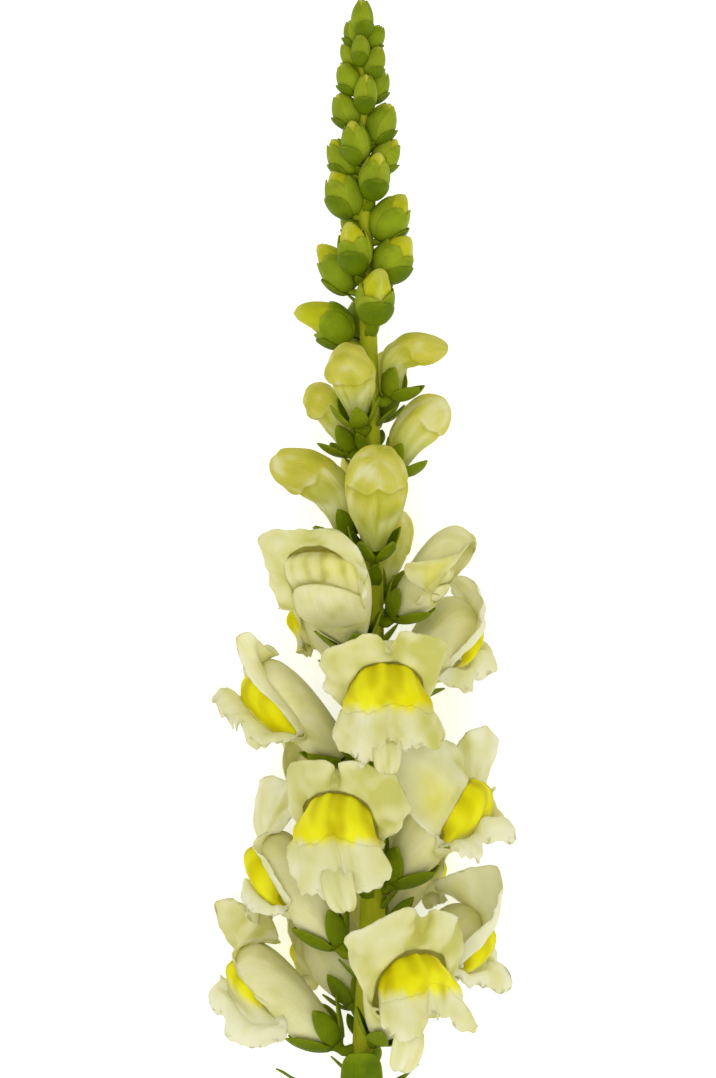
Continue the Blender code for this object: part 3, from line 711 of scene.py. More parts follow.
def make_lower_lip(corolla, materials):
    """The lower lip's fold: the palate's crest, and the apron that falls from it to the side lobes."""
    look = corolla.look
    angle = np.radians(np.linspace(-112, 112, LIP_COLUMNS))
    side = np.abs(angle) / angle.max()
    turn = np.sign(angle) * (1 - (1 - LIP_START) * side)
    ring = np.stack([np.sin(angle), np.zeros(LIP_COLUMNS), np.cos(angle)], -1)
    furrow = bump(angle, 0, 0.13)
    ridges = np.cos(angle * 9 + 0.6) * np.exp(-((side * 1.5) ** 2))
    swell = 1 + 0.025 * ridges - 0.09 * furrow
    rows = crest(corolla.seat, ring, PALATE_HALF_SIZES * look["palate"], swell)
    apron = rolled_apron if look["rolled"] else hanging_apron
    points = np.array(rows + apron(corolla, rows[-1], ring, turn))
    fall = np.concatenate([np.zeros(CREST_ROWS), portions(FACE_ROWS + LOBE_ROWS)])[:, None]
    ripple = corolla.ripple(turn, fall)
    creases = crumple(points, corolla.rng, 6.0)
    lift = 0.28 * ridges * bump(fall, 0.10, 0.14) * (fall > 0) - 0.5 * furrow * bump(fall, 0.3, 0.3)
    lift = lift + creases * (0.12 + 0.40 * smoothstep(0.3, 0.9, fall))
    low_down = smoothstep(0.15, 0.4, fall)
    # Painted shading of the lower lip: painted shade in the ripples' valleys, the middle furrow and the
    # cushion's sides, painted highlight on the ripples' crests.
    fold = 0.5 + 0.22 * ripple - 0.30 * furrow * (1 - fall) - 0.25 * smoothstep(0.8, 1.0, side) * (1 - fall)
    # Painted shade and highlight across the creases and the palate's ridges.
    fold = fold + 0.18 * creases * low_down + 0.18 * (ridges - 0.5) * (1 - low_down)
    if not look["rolled"]:
        corner_fold = bump(side, 0.60, 0.09) * bump(fall, 0.34, 0.20)
        lift = lift + 0.55 * RUFFLE * ripple * smoothstep(0.25, 0.9, fall) - 1.1 * corner_fold
        # Painted shade in the crease between the face and the side lobes.
        fold = fold - 0.22 * corner_fold
    # The thin edge is paler, partly painted highlight.
    fold = np.clip(fold + 0.2 * smoothstep(0.8, 1, fall), 0.1, 1)
    # lip_pale: the lobes painted paler, partly their own whiter colour and partly painted light.
    fold = fold + look["lip_pale"] * smoothstep(0.2, 0.6, fall)
    # Painted shade in the look's lip_shade bumps.
    fold = fold - bumps(turn, look["lip_shade"]) * smoothstep(0.3, 0.6, fall)
    points = pressed(points + normals_of(points) * lift[..., None])
    tint = lip_tint(look, points, fall, angle)
    cut = CREST_ROWS + FACE_ROWS
    face, lobes = slice(None, cut), slice(cut - 1, None)
    across, along = np.linspace(0.3, 0.7, LIP_COLUMNS), 0.62 + 0.38 * fall
    skin = Skin().add(points[face], across, along[face], tint=tint[face], fold=fold[face])
    build_palate(skin, corolla.name, materials)
    skin = Skin().add(points[lobes], across, along[lobes], tint=tint[lobes], fold=fold[lobes])
    if look["tongue"]:
        add_tongue(skin, corolla)
    build_lobes(skin, corolla.name, materials)


def add_tongue(skin, corolla):
    """The lower lip's middle lobe: a narrow, crinkled tongue that hangs behind the side lobes."""
    look, seat, rng = corolla.look, corolla.seat, corolla.rng
    joint = corolla.joint(1.0)
    foot = corolla.point([1.0], 1 + joint * 0.7)[0] + (0.9 * seat.up - 1.2 * seat.forward) * seat.size
    tip = corolla.ruffled([1.0], 2.0)[0]
    tip[:2] = look["tongue_tip"] or tip[:2]
    foot[:2] = look["tongue_foot"] or foot[:2]
    half_width = look["tongue_width"] * seat.size
    along = np.linspace(0, 1, 22)[:, None]
    across = np.linspace(-1, 1, 25)[None]
    hang = foot + (-seat.up * 0.55 + seat.forward * 0.35) * np.linalg.norm(tip - foot)
    tooth = np.sin(across * 21 + rng.uniform(0, 6)) + 0.6 * np.sin(across * 37)
    ends = along - 0.07 * np.clip(along - 0.5, 0, 1) * tooth
    path = cubic(foot, hang, tip + (hang - foot) * 0.15, tip, ends)
    width = half_width * (0.75 + 0.4 * np.sin(math.pi * np.minimum(along * 1.1, 1)))
    width = width * np.sqrt(np.maximum(1 - np.clip((along - 0.72) / 0.29, 0, 1) ** 2, 0))
    down = unit(tip - foot)
    wide = unit(seat.across - down * (seat.across @ down))
    crinkle = np.sin(across * 5 + 4 * along + rng.uniform(0, 6)) + 0.5 * np.sin(across * 11 - 5 * along)
    lift = 0.30 * crinkle * along - 0.8 * across**2 * half_width / 3
    points = path + wide * (width * across)[..., None] + np.cross(down, wide) * lift[..., None]
    # Painted shade towards its root, behind the side lobes, and in its crinkles' valleys; tongue_pale makes
    # it whiter.
    fold = 0.5 + 0.25 * crinkle * along - 0.2 * (1 - along) + look["tongue_pale"]
    skin.add(pressed(points), np.linspace(0.4, 0.6, 25), 0.75 + along * 0.25, fold=fold)


def make_folded_lip(corolla, materials):
    """The lower lip of a half-open bloom: a pouch, with the side lobes still folded up over the mouth."""
    look, seat = corolla.look, corolla.seat
    side = np.linspace(-1, 1, LIP_COLUMNS)
    size = np.abs(side)[:, None]
    turn = np.sign(side) * (1 - (1 - LIP_START) * np.abs(side))
    rows = [seat.place(corolla.smooth(turn, 0.80))]
    for middle, half_way, end in np.array(FOLDED_LIP) * look["folded"]:
        row = middle * (1 - size) * (1 - 2 * size) + half_way * 4 * size * (1 - size)
        row += end * size * (2 * size - 1)
        row[:, 0] *= np.where(side < 0, -1, 1)
        rows.append(seat.place(row))
    rows = np.array(rows)
    fine = np.linspace(0, len(rows) - 1, FOLDED_ROWS)
    slopes = np.gradient(rows, axis=0)
    i = np.minimum(fine.astype(int), len(rows) - 2)
    points = hermite(rows[i], slopes[i], slopes[i + 1], rows[i + 1], (fine - i)[:, None, None])
    along = np.linspace(0, 1, FOLDED_ROWS)[:, None]
    pleats = np.sin(side * 17 + 0.5) * smoothstep(0.62, 0.75, along)
    cleft = bump(side, 0.15, 0.06) * smoothstep(0.60, 0.68, along)
    out = -seat.up * 0.7 + seat.forward * 0.3
    creases = crumple(points, corolla.rng, 6.0)
    unrest = 0.32 * pleats - 0.9 * cleft + 0.35 * creases * smoothstep(0.1, 0.3, along)
    points = points + out * (look["unrest"] * unrest)[..., None]
    # Painted shade: a painted shadow along the fold between the pouch and the lobes, darker under the hood,
    # and in the pleats', cleft's and creases' valleys.
    fold = 0.52 - 0.30 * bump(along, 0.62, 0.05) - 0.15 * smoothstep(0.85, 1, along) + 0.20 * pleats
    fold = fold - 0.3 * cleft + 0.18 * creases
    tint = 0.22 * smoothstep(0.6, 0.8, along) * (1 + 0.8 * smoothstep(0.1, 0.3, side))
    across = np.linspace(0.3, 0.7, LIP_COLUMNS)
    skin = Skin().add(pressed(points), across, 0.25 + 0.45 * along, tint=tint, fold=fold)
    build_lobes(skin, corolla.name, materials)
    inner = points[PALATE_FROM:] - out * 0.9
    skin = Skin().add(pressed(inner), across, np.linspace(0.5, 0.7, len(inner)), tint=0.8)
    build_palate(skin, corolla.name, materials)


# ---------------------------------------------------------------- calyces, stalks, bracts, leaves


def tube_girth(turn, forward):
    """About how far a bloom's tube stands from its axis, near its base."""
    top = 2.3 + 4.1 * (1 - np.exp(-(forward + 1) / 4.6))
    low = 2.5 + 4.7 * (1 - np.exp(-(forward + 1) / 3.2))
    return low + (top - low) * (0.5 + 0.5 * np.cos(math.pi * turn))


def add_sepal(skin, seat, rng, middle, length, width, spread):
    """One pointed sepal at a turn round the foot of a tube."""
    long = length * rng.uniform(0.9, 1.08)
    out = spread * rng.uniform(1.5, 2.6)
    along = np.linspace(0, 1, 12)[:, None]
    across = np.linspace(-1, 1, 9)[None]
    taper = 1 - np.clip((along - 0.3) / 0.7, 0, 1) ** 2.2
    half = width * (0.5 + 0.5 * np.minimum(along / 0.3, 1)) * taper**0.8
    forward = -1.1 + (long + 1.1) * along
    radius = tube_girth(middle, forward) + 0.35 + out * along**1.8 - 0.10 * width * across**2
    angle = math.pi * middle + across * half / radius
    forward = np.broadcast_to(forward, angle.shape)
    points = seat.place(np.stack([radius * np.sin(angle), radius * np.cos(angle), forward], -1))
    skin.add(pressed(points, LEAF_GAP), tint=0.3 + 0.4 * rng.random())


def make_calyx(name, seat, rng, materials, width, length=8.2, spread=1.0):
    """Five sepals round the foot of a tube, with the stalk that carries them."""
    skin = Skin()
    for k in range(5):
        add_sepal(skin, seat, rng, 0.4 * k + rng.uniform(-0.03, 0.03), length, width, spread)
    start, neck = seat.root, seat.place(np.array((0.0, 0.0, -2.6)))
    span = np.linalg.norm(neck - start)
    handle = start + (outward(seat.side) * 0.6 + TIPWARD * 0.4) * span
    before = neck - seat.forward * 0.35 * span
    path = list(cubic(start, handle, before, neck, np.linspace(0, 1, 8)))
    radii = list(np.linspace(1.5, 1.15, 8))
    for forward, radius in ((-1.8, 1.4), (-1.2, 2.1), (-0.6, 2.9), (0.0, 3.1), (0.2, 2.4)):
        path.append(seat.place(np.array((0.0, 0.0, forward))))
        radii.append(radius * seat.size)
    skin.add(sweep(path, radii, 12), wrap=True, tint=0.55)
    skin.build(f"calyx_{name}", materials["sepal"], "green", "stem", CALYX_THICKNESS)


def blade(seat, length, half_width, arch, rows, columns, wave=0.0, blunt=0.0, rng=None):
    """A leaf's grid: pointed or blunt, folded up along its midrib and arching over."""
    along = np.linspace(0, 1, rows)[:, None]
    across = np.linspace(-1, 1, columns)[None]
    pointed = half_width * np.sin(math.pi * (0.08 + 0.92 * along) ** 0.8) ** 0.8
    rounded = half_width * rounded_off(along, 0, 16) * np.minimum(1, 0.35 + along * 3)
    width = np.where(along == 1, 0.02, pointed * (1 - blunt) + blunt * rounded)
    up = 0.25 * width * np.abs(across) ** 1.3 - arch * length * along**2
    if wave:
        phase = rng.uniform(0, 6, 2)
        side = np.where(across < 0, np.sin(along * 17 + phase[0]), np.sin(along * 15 + phase[1]))
        up = up + wave * np.abs(across) ** 2 * side * np.sin(math.pi * along)
    points = np.stack(np.broadcast_arrays(width * across, up, length * along), -1)
    return pressed(seat.place(points), LEAF_GAP)


def add_bract(skin, along, side, rng, length=8.5, half_width=2.2):
    """The small leaf under a stalk at that place along the stem."""
    seat = Seat(along - 6.0, side, 42 + rng.uniform(-6, 6), -1.0)
    points = blade(seat, length * rng.uniform(0.9, 1.1), half_width, -0.08, 12, 7)
    skin.add(points, tint=0.35)


# ---------------------------------------------------------------- buds


def rings(radius, angle, forward, lift):
    """Rings round a bud's axis, set square to it where it bows and droops."""
    slope = np.gradient(lift[:, 0], forward[:, 0])[:, None]
    across, up = radius * np.sin(angle), radius * np.cos(angle) / np.sqrt(1 + slope**2)
    return np.stack(np.broadcast_arrays(across * 0.93, lift + up, forward - up * slope), -1)


def cream_girth(along, half_width):
    """The radius of a cream bud along it, 0 to 1."""
    grown = np.sin(np.clip(along / BUD_WIDEST_AT, 0, 1) * math.pi / 2) ** 1.15
    rising = BUD_BASE_RADIUS + (half_width - BUD_BASE_RADIUS) * grown
    return np.where(along < BUD_WIDEST_AT, rising, half_width * rounded_off(along, BUD_WIDEST_AT, 3))


def make_cream_bud(row, look, materials):
    """A closed bud: a pouch, and the hood of the upper lip that folds down over its front."""
    name, node, side, rise, length, half_width, stalk = row
    size = 0.6 + 0.05 * half_width
    seat = Seat(node, side, rise, stalk, size=size)
    long, wide = length / size, half_width / size * look["girth"]
    rng = seeded(name, offset=50)
    phase = rng.uniform(0, ANY_PHASE, 4)
    turn = np.linspace(-1, 1, BUD_COLUMNS + 1)[None, :-1]
    tip = 1 - 0.07 * np.cos(np.linspace(0, 1, 12)[1:] * math.pi / 2)
    along = np.concatenate([np.linspace(0, 0.93, 60), tip])[:, None]
    off_top = np.abs(turn)
    under = smoothstep(0.36, 0.60, off_top)
    fold_at = look["fold"] + 0.05 * np.cos(math.pi * turn * 2) + 0.02 * bump(off_top, 1, 0.10)
    fold_at = fold_at - 0.014 * np.cos(math.pi * turn * 7 + phase[3])
    hood = smoothstep(fold_at - 0.008, fold_at + 0.012, along)
    pouch = 1 - hood
    overlap = 0.05 * hood * (1 - smoothstep(0.72, 0.95, along)) - 0.05 * bump(along, fold_at - 0.02, 0.05)
    seam = bump(off_top, 1, 0.035) * pouch * smoothstep(0.08, 0.3, along)
    pleats = np.sin(turn * 23 + phase[0]) + 0.6 * np.sin(turn * 37 + phase[1] + 5 * along)
    pleats = pleats * smoothstep(0.05, 0.3, along) * (0.4 + 0.6 * pouch)
    crown = bump(turn + 0.15 * np.sin(phase[2]), 0, 0.07) * smoothstep(0.35, 0.8, along)
    radius = cream_girth(along, wide) * (1 + under * overlap)
    radius = radius * (1 - 0.05 * seam + 0.014 * pleats - 0.05 * crown)
    lift = look["bow"] * np.sin(math.pi * along) - look["droop"] * along**3
    forward = BASE_FORWARD + (long * look["short"] - BASE_FORWARD) * along
    points = seat.place(rings(radius, math.pi * turn, forward, long * lift))
    creases = crumple(points, rng, 6.0)
    points = points + normals_of(points) * (0.44 * creases * smoothstep(0.1, 0.4, along))[..., None]
    # Painted shade in the seam, the crown's dip and the pleats' valleys, painted highlight on the pleats'
    # ridges.
    fold = 0.5 + 0.10 * pleats - 0.3 * seam - 0.25 * crown + look["pale"] * smoothstep(0.3, 0.6, along)
    # A painted shadow under the hood's edge, and a painted highlight along the edge itself.
    fold = fold - 0.2 * under * (bump(along, fold_at - 0.06, 0.05) - bump(along, fold_at + 0.02, 0.02))
    skin = Skin().add(
        pressed(points),
        along=along,
        wrap=True,
        # tint: a dark painted shadow line just under the hood's edge; the creases add painted shade and
        # highlight.
        tint=0.7 * under * bump(along, fold_at - 0.018, 0.022),
        fold=fold + 0.30 * creases,
    )
    skin.build(name, materials["bud"], "bud_cream", name, weld=True)
    return seat, rng


class GreenBud:
    """A green bud wrapped in its sepals and cupped by a bract. ripe goes from 0 for one high on the
    spike to 1 for a low one, whose yellow nose shows."""

    def __init__(self, row):
        node, side, rise, self.length, self.half_width, stalk = row
        self.node = node
        self.seat = Seat(node, side, rise, stalk)
        self.ripe = np.clip((RIPE_BELOW - node) / 52, 0, 1)

    def girth(self, at):
        """The bud's radius along it, 0 to 1."""
        power = 0.85 - 0.1 * self.ripe
        return self.half_width * np.sin(math.pi * np.clip(at, 0, 1) ** power) ** 0.62

    def place(self, radius, angle, at, start):
        """Points round the bud at portions of its length, from a start along its axis."""
        droop = (0.10 * self.ripe + 0.5 * self.ripe**12) * np.clip(at - 0.4, 0, 1)
        sag = -(0.08 + droop) * self.length * at**2
        return self.seat.place(rings(radius, angle, self.length * at + start, sag))

    def add_petals(self, skin):
        """The petals that the sepals leave open at the tip."""
        along = np.linspace(0, 1, 24)[:, None]
        turn = np.linspace(-1, 1, 33)[None, :-1]
        notch = 0.06 * smoothstep(0.5, 0.8, np.abs(turn)) * bump(along, 0.62, 0.06) * self.ripe
        nose = 0.86 * self.half_width * self.ripe * rounded_off(along, 0, 4) * (along > 0.5)
        radius = np.maximum(self.girth(along), nose) * (1 - notch)
        radius = radius * (0.93 + 0.03 * self.ripe * smoothstep(0.5, 0.8, along))
        radius = radius * (1 + 0.02 * np.sin(turn * 19 + self.node))
        skin.add(self.place(radius, math.pi * turn, along, -0.4), wrap=True)

    def scale(self, middle, cover, half_turn, gap, start):
        """A sepal or bract wrapped round the bud, standing off it by a gap."""
        body = np.clip(SCALE_ALONG * cover, 0, 1)
        angle = math.pi * (middle + SCALE_ACROSS * half_turn)
        return self.place(self.girth(body) + gap, angle, body, start)

    def add_sepals(self, skin, rng):
        """Five sepals round the bud."""
        first = rng.uniform(-0.2, 0.2)
        half_turn = 0.28 * rounded_off(SCALE_ALONG, 0.35, 2.6)
        for k in range(5):
            middle = first + 0.4 * k + rng.uniform(-0.04, 0.04)
            cover = (0.99 - 0.36 * self.ripe * rng.uniform(0.7, 1.1)) * rng.uniform(0.92, 1.0)
            gap = 0.10 + 0.16 * (k % 2) + 0.30 * self.ripe * SCALE_ALONG**3
            gap = gap - 0.12 * np.abs(SCALE_ACROSS) ** 3 + 0.10 * bump(SCALE_ACROSS, 0, 0.2)
            grid = self.scale(middle, cover, half_turn, gap, 0.1 * SCALE_ALONG - 0.4)
            skin.add(grid, tint=0.75 * rng.random())

    def add_cup(self, skin, rng):
        """The bract that cups the bud's underside."""
        cover = (0.54 + 0.06 * self.ripe) * rng.uniform(0.88, 1.1)
        half_turn = 0.36 * rounded_off(SCALE_ALONG, 0.3, 2.2)
        gap = 0.55 + 0.5 * SCALE_ALONG**2 - 0.1 * SCALE_ACROSS**2
        grid = self.scale(1 + rng.uniform(-0.12, 0.12), cover, half_turn, gap, -0.9)
        skin.add(grid, tint=0.3 * rng.random())

    def add_stalk(self, skin):
        """The stalk, which widens into the bud's foot."""
        root, neck, end = self.seat.root, *self.seat.place(np.array(((0, 0, -0.4), (0, 0, 0.6))))
        radii = np.array((0.9, 0.8, 0.8, 1.2)) * (0.5 + 0.12 * self.half_width)
        skin.add(sweep((root, (root + neck) / 2, neck, end), radii, 8), wrap=True, tint=0.6)


# ---------------------------------------------------------------- the stem


def make_stem(materials):
    """The stem, softly ridged, with its cut end closed by rings that shrink to its middle."""
    centres, radii = zip(*(stem_at(at) for at in np.linspace(0, STEM_PATH[-1][0], STEM_ROWS)))
    angle = np.arange(STEM_SIDES) / STEM_SIDES * 2 * math.pi
    ridges = 1 + 0.035 * np.cos(angle * 4) + 0.02 * np.cos(angle * 9 + 1)
    skin = Skin().add(sweep(centres, np.outer(radii, ridges), STEM_SIDES), wrap=True, tint=0.8)
    cut = (centres[0], centres[0] + TIPWARD)
    caps = [sweep(cut, (radii[0] * part,) * 2, STEM_SIDES)[0] for part in (1.0, 0.9, 0.55, 0.02)]
    skin.add(np.array(caps), wrap=True, tint=1.0)
    skin.build("stem_axis", materials["stem"], "green", "stem", weld=True)


# ---------------------------------------------------------------- materials


class Tree:
    """Shader nodes of one material."""

    def __init__(self, name):
        self.material = bpy.data.materials.new(name)
        self.material.use_nodes = True
        self.tree = self.material.node_tree
        self.tree.nodes.clear()
        self.place = self.add("ShaderNodeUVMap", uv_map="place").outputs[0]
        split = self.add("ShaderNodeSeparateXYZ")
        self.feed(split.inputs[0], self.place)
        self.across, self.along = split.outputs[0], split.outputs[1]
        self.tint = self.add("ShaderNodeAttribute", attribute_name="tint").outputs["Fac"]
        # fold carries painted shading: painted shade below 0.5, paler and painted highlights above it.
        self.fold = self.add("ShaderNodeAttribute", attribute_name="fold").outputs["Fac"]
        self.position = self.add("ShaderNodeTexCoord").outputs["Object"]

    def add(self, kind, **settings):
        """A node of that kind, with these settings."""
        node = self.tree.nodes.new(kind)
        for key, value in settings.items():
            setattr(node, key, value)
        return node

    def feed(self, socket, value):
        """Links the socket to another one, or sets it to a number or a colour."""
        if isinstance(value, bpy.types.NodeSocket):
            self.tree.links.new(value, socket)
        else:
            socket.default_value = (*value, 1) if isinstance(value, tuple) else value

    def math(self, operation, first, second=0.0):
        """One sum on two numbers."""
        node = self.add("ShaderNodeMath", operation=operation)
        self.feed(node.inputs[0], first)
        self.feed(node.inputs[1], second)
        return node.outputs[0]

    def ramp(self, value, *stops):
        """Numbers or colours at these stops of the value, and straight steps between them."""
        node = self.add("ShaderNodeValToRGB")
        elements = node.color_ramp.elements
        while len(elements) < len(stops):
            elements.new(0.5)
        for element, (at, colour) in zip(elements, stops):
            element.position = at
            element.color = (*colour, 1) if isinstance(colour, tuple) else (colour, colour, colour, 1)
        self.feed(node.inputs[0], value)
        return node.outputs[0]

    def mix(self, factor, first, second):
        """The first colour where the factor is 0, and the second where it is 1."""
        node = self.add("ShaderNodeMix", data_type="RGBA")
        for index, value in ((0, factor), (6, first), (7, second)):
            self.feed(node.inputs[index], value)
        return node.outputs[2]

    def layered(self, colour, *layers):
        """A colour with others laid over it, each where a value ramps from low to high."""
        for value, low, high, over in layers:
            colour = self.mix(self.ramp(value, low, high), colour, over)
        return colour

    def noise(self, scale, detail, where=None):
        """Cloudy noise through space, or over the place on the organ."""
        node = self.add("ShaderNodeTexNoise")
        self.feed(node.inputs["Vector"], self.position if where is None else where)
        self.feed(node.inputs["Scale"], scale)
        self.feed(node.inputs["Detail"], detail)
        return node.outputs["Fac"]

    def stretched(self, across, along):
        """The place on the organ, stretched for streaks that run along it."""
        node = self.add("ShaderNodeMapping")
        node.inputs["Scale"].default_value = (across, along, 1)
        self.feed(node.inputs["Vector"], self.place)
        return node.outputs[0]

    def finish(self, colour, roughness, specular, height, strength, distance, translucent):
        """The material: this colour with this relief, partly lit through."""
        relief = self.add("ShaderNodeBump")
        shader = self.add("ShaderNodeBsdfPrincipled")
        through = self.add("ShaderNodeBsdfTranslucent")
        blend = self.add("ShaderNodeMixShader")
        output = self.add("ShaderNodeOutputMaterial")
        for socket, value in (
            (relief.inputs["Height"], height),
            (relief.inputs["Strength"], strength),
            (relief.inputs["Distance"], distance),
            (shader.inputs["Base Color"], colour),
            (shader.inputs["Normal"], relief.outputs[0]),
            (shader.inputs["Roughness"], roughness),
            (shader.inputs["Specular IOR Level"], specular),
            (through.inputs["Color"], colour),
            (through.inputs["Normal"], relief.outputs[0]),
            (blend.inputs[0], translucent),
            (blend.inputs[1], shader.outputs[0]),
            (blend.inputs[2], through.outputs[0]),
            (output.inputs["Surface"], blend.outputs[0]),
        ):
            self.feed(socket, value)
        return self.material


def petal_material():
    """Cream, with veins, random pale and greenish patches, painted shade and highlights along the fold, a
    tube painted paler as painted light, browned specks at the edge and a yellow tint.
    """
    t = Tree("petal")
    veins = t.noise(9, 3, t.stretched(9, 0.7))
    fine = t.noise(30, 2, t.stretched(6, 0.5))
    cloud = t.noise(90, 3)
    tone = t.noise(38, 2)
    # The tube is painted paler than the lips: painted light that lifts the shade it gets among the blooms.
    # Its greener base is its own colour.
    body = t.ramp(
        t.along,
        (0.0, (0.84, 0.86, 0.44)), (0.16, (0.98, 0.94, 0.55)), (0.46, (0.97, 0.93, 0.48)),
        (0.64, (0.84, 0.81, 0.40)), (1.0, (0.85, 0.82, 0.41)),
    )
    body = t.layered(
        body,
        (veins, (0.42, 0.0), (0.62, 0.22), (0.76, 0.76, 0.26)),
        (tone, (0.40, 0.0), (0.62, 0.55), (0.80, 0.79, 0.34)),
        (cloud, (0.35, 0.0), (0.7, 0.35), (0.95, 0.94, 0.72)),
        # Painted shade where fold is low, and paler with painted highlights where it is high.
        (t.fold, (0.05, 0.85), (0.48, 0.0), (0.68, 0.67, 0.15)),
        (t.fold, (0.52, 0.0), (1.0, 0.85), (0.95, 0.94, 0.72)),
    )
    yellow = t.mix(t.ramp(cloud, (0.35, 0.0), (0.65, 1.0)), (0.92, 0.86, 0.0), (0.99, 0.96, 0.02))
    # Painted shade on the yellow where fold is low.
    yellow = t.mix(t.ramp(t.fold, (0.10, 1.0), (0.46, 0.0)), yellow, (0.66, 0.56, 0.0))
    body = t.mix(t.tint, body, yellow)
    edge = t.ramp(t.along, (0.975, 0.0), (1.0, 0.6))
    specks = t.math("MULTIPLY", edge, t.ramp(t.noise(420, 2), (0.54, 0.0), (0.62, 1.0)))
    body = t.mix(specks, body, (0.40, 0.36, 0.10))
    height = t.math("ADD", t.math("MULTIPLY", veins, 0.6), t.math("MULTIPLY", fine, 0.4))
    return t.finish(body, 0.6, 0.12, height, 0.3, 0.0005, 0.32)


def bud_material():
    """Greenish yellow, with painted shade in its seam and folds, pale ridges with painted highlights, and a
    painted shadow under the hood's edge.
    """
    t = Tree("bud")
    veins = t.noise(8, 3, t.stretched(8, 0.8))
    cloud = t.noise(110, 3)
    body = t.ramp(
        t.along,
        (0.0, (0.58, 0.64, 0.13)), (0.3, (0.68, 0.70, 0.20)), (0.5, (0.70, 0.69, 0.15)),
        (0.62, (0.73, 0.67, 0.08)), (1.0, (0.73, 0.67, 0.09)),
    )
    body = t.layered(
        body,
        (veins, (0.42, 0.0), (0.66, 0.4), (0.58, 0.60, 0.04)),
        (cloud, (0.4, 0.0), (0.7, 0.25), (0.90, 0.87, 0.40)),
        # Painted shade where fold is low, and paler with painted highlights where it is high.
        (t.fold, (0.05, 0.8), (0.48, 0.0), (0.50, 0.52, 0.02)),
        (t.fold, (0.55, 0.0), (0.95, 0.9), (0.92, 0.90, 0.50)),
    )
    # tint: a painted shadow under the hood's edge.
    body = t.mix(t.math("MULTIPLY", t.tint, 0.75), body, (0.44, 0.42, 0.01))
    return t.finish(body, 0.5, 0.15, veins, 0.4, 0.0008, 0.3)


def green_material(name, low, high, pale, rate):
    """A green that runs from low to high in patches, with a pale rim, and darker towards its base as painted
    shade.
    """
    t = Tree(name)
    veins = t.noise(rate, 3, t.stretched(rate, 0.8))
    cloud = t.noise(160, 4)
    colour = t.mix(t.ramp(cloud, (0.3, 0.0), (0.7, 1.0)), low, high)
    colour = t.mix(t.math("MULTIPLY", t.tint, 0.6), colour, pale)
    rim = t.ramp(t.math("ABSOLUTE", t.math("SUBTRACT", t.across, 0.5)), (0.42, 0.0), (0.5, 0.5))
    rim = t.math("MAXIMUM", rim, t.ramp(t.along, (0.86, 0.0), (1.0, 0.5)))
    colour = t.mix(rim, colour, pale)
    # Painted shade towards the base, and darker veins.
    shaded = ((t.along, (0.0, 0.35), (0.5, 0.0), low), (veins, (0.45, 0.0), (0.6, 0.3), low))
    colour = t.layered(colour, *shaded)
    return t.finish(colour, 0.5, 0.08, veins, 0.4, 0.0006, 0.15)


def make_materials():
    """The materials of all the organs, by name."""
    materials = {"petal": petal_material(), "bud": bud_material()}
    for name, low, high, pale, rate in (
        ("nose", (0.46, 0.48, 0.006), (0.68, 0.66, 0.02), (0.80, 0.78, 0.20), 7),
        ("stem", (0.29, 0.34, 0.002), (0.49, 0.54, 0.004), (0.60, 0.62, 0.03), 16),
        ("sepal", (0.09, 0.15, 0.0), (0.19, 0.27, 0.0), (0.36, 0.42, 0.01), 7),
        ("bud_sepal", (0.16, 0.24, 0.003), (0.31, 0.42, 0.006), (0.56, 0.62, 0.04), 7),
        ("leaf", (0.09, 0.15, 0.0), (0.19, 0.27, 0.0), (0.33, 0.41, 0.01), 7),
    ):
        materials[name] = green_material(name, low, high, pale, rate)
    return materials


# ---------------------------------------------------------------- table, light and camera


def make_table():
    """The plain white table, just under the stem."""
    bpy.ops.mesh.primitive_plane_add(size=12, location=(0, 0, -0.0002))
    table = bpy.context.object
    table.name = "table"
    material = bpy.data.materials.new("table")
    material.use_nodes = True
    shader = material.node_tree.nodes["Principled BSDF"]
    shader.inputs["Base Color"].default_value = (0.9, 0.9, 0.9, 1)
    shader.inputs["Roughness"].default_value = 0.9
    shader.inputs["Emission Color"].default_value = (1, 1, 1, 1)
    shader.inputs["Emission Strength"].default_value = 0.5
    table.data.materials.append(material)


def make_lights():
    """A soft, bright studio, with its colours shown as they are."""
    scene = bpy.context.scene
    scene.world = bpy.data.worlds.new("studio")
    scene.world.use_nodes = True
    sky = scene.world.node_tree.nodes["Background"]
    sky.inputs["Color"].default_value = (1, 1, 1, 1)
    sky.inputs["Strength"].default_value = 0.68
    for name, place, size, energy in (
        ("key", (-0.18, 0.05, 1.75), 1.3, 8.8),
        ("fill", (0.25, -0.75, 0.95), 0.7, 3.0),
    ):
        light = bpy.data.lights.new(name, "AREA")
        light.size, light.energy = size, energy
        lamp = bpy.data.objects.new(name, light)
        lamp.location = place
        aim = Vector(LIT_POINT) - Vector(place)
        lamp.rotation_euler = aim.to_track_quat("-Z", "Y").to_euler()
        scene.collection.objects.link(lamp)
    scene.view_settings.view_transform = "Standard"
    scene.view_settings.look = "None"


def make_camera():
    """Straight above the spike, tip upwards in the picture."""
    scene = bpy.context.scene
    data = bpy.data.cameras.new("camera")
    data.lens, data.sensor_width = LENS, SENSOR
    data.clip_start, data.clip_end = 0.05, 50
    camera = bpy.data.objects.new("camera", data)
    shown = PICTURE_HEIGHT * PIXEL
    height = shown * LENS / SENSOR + BLOOM_LEVEL
    camera.location = MM * (np.array((0.0, PICTURE_MIDDLE, height)) - FOOTPRINT_MIDDLE)
    scene.collection.objects.link(camera)
    scene.camera = camera


# ---------------------------------------------------------------- the picture


def in_picture(x, y):
    """Millimetres across and along, at the blooms' level, of a pixel of the picture."""
    return (x - PICTURE_WIDTH / 2) * PIXEL, PICTURE_MIDDLE + (PICTURE_HEIGHT / 2 - y) * PIXEL


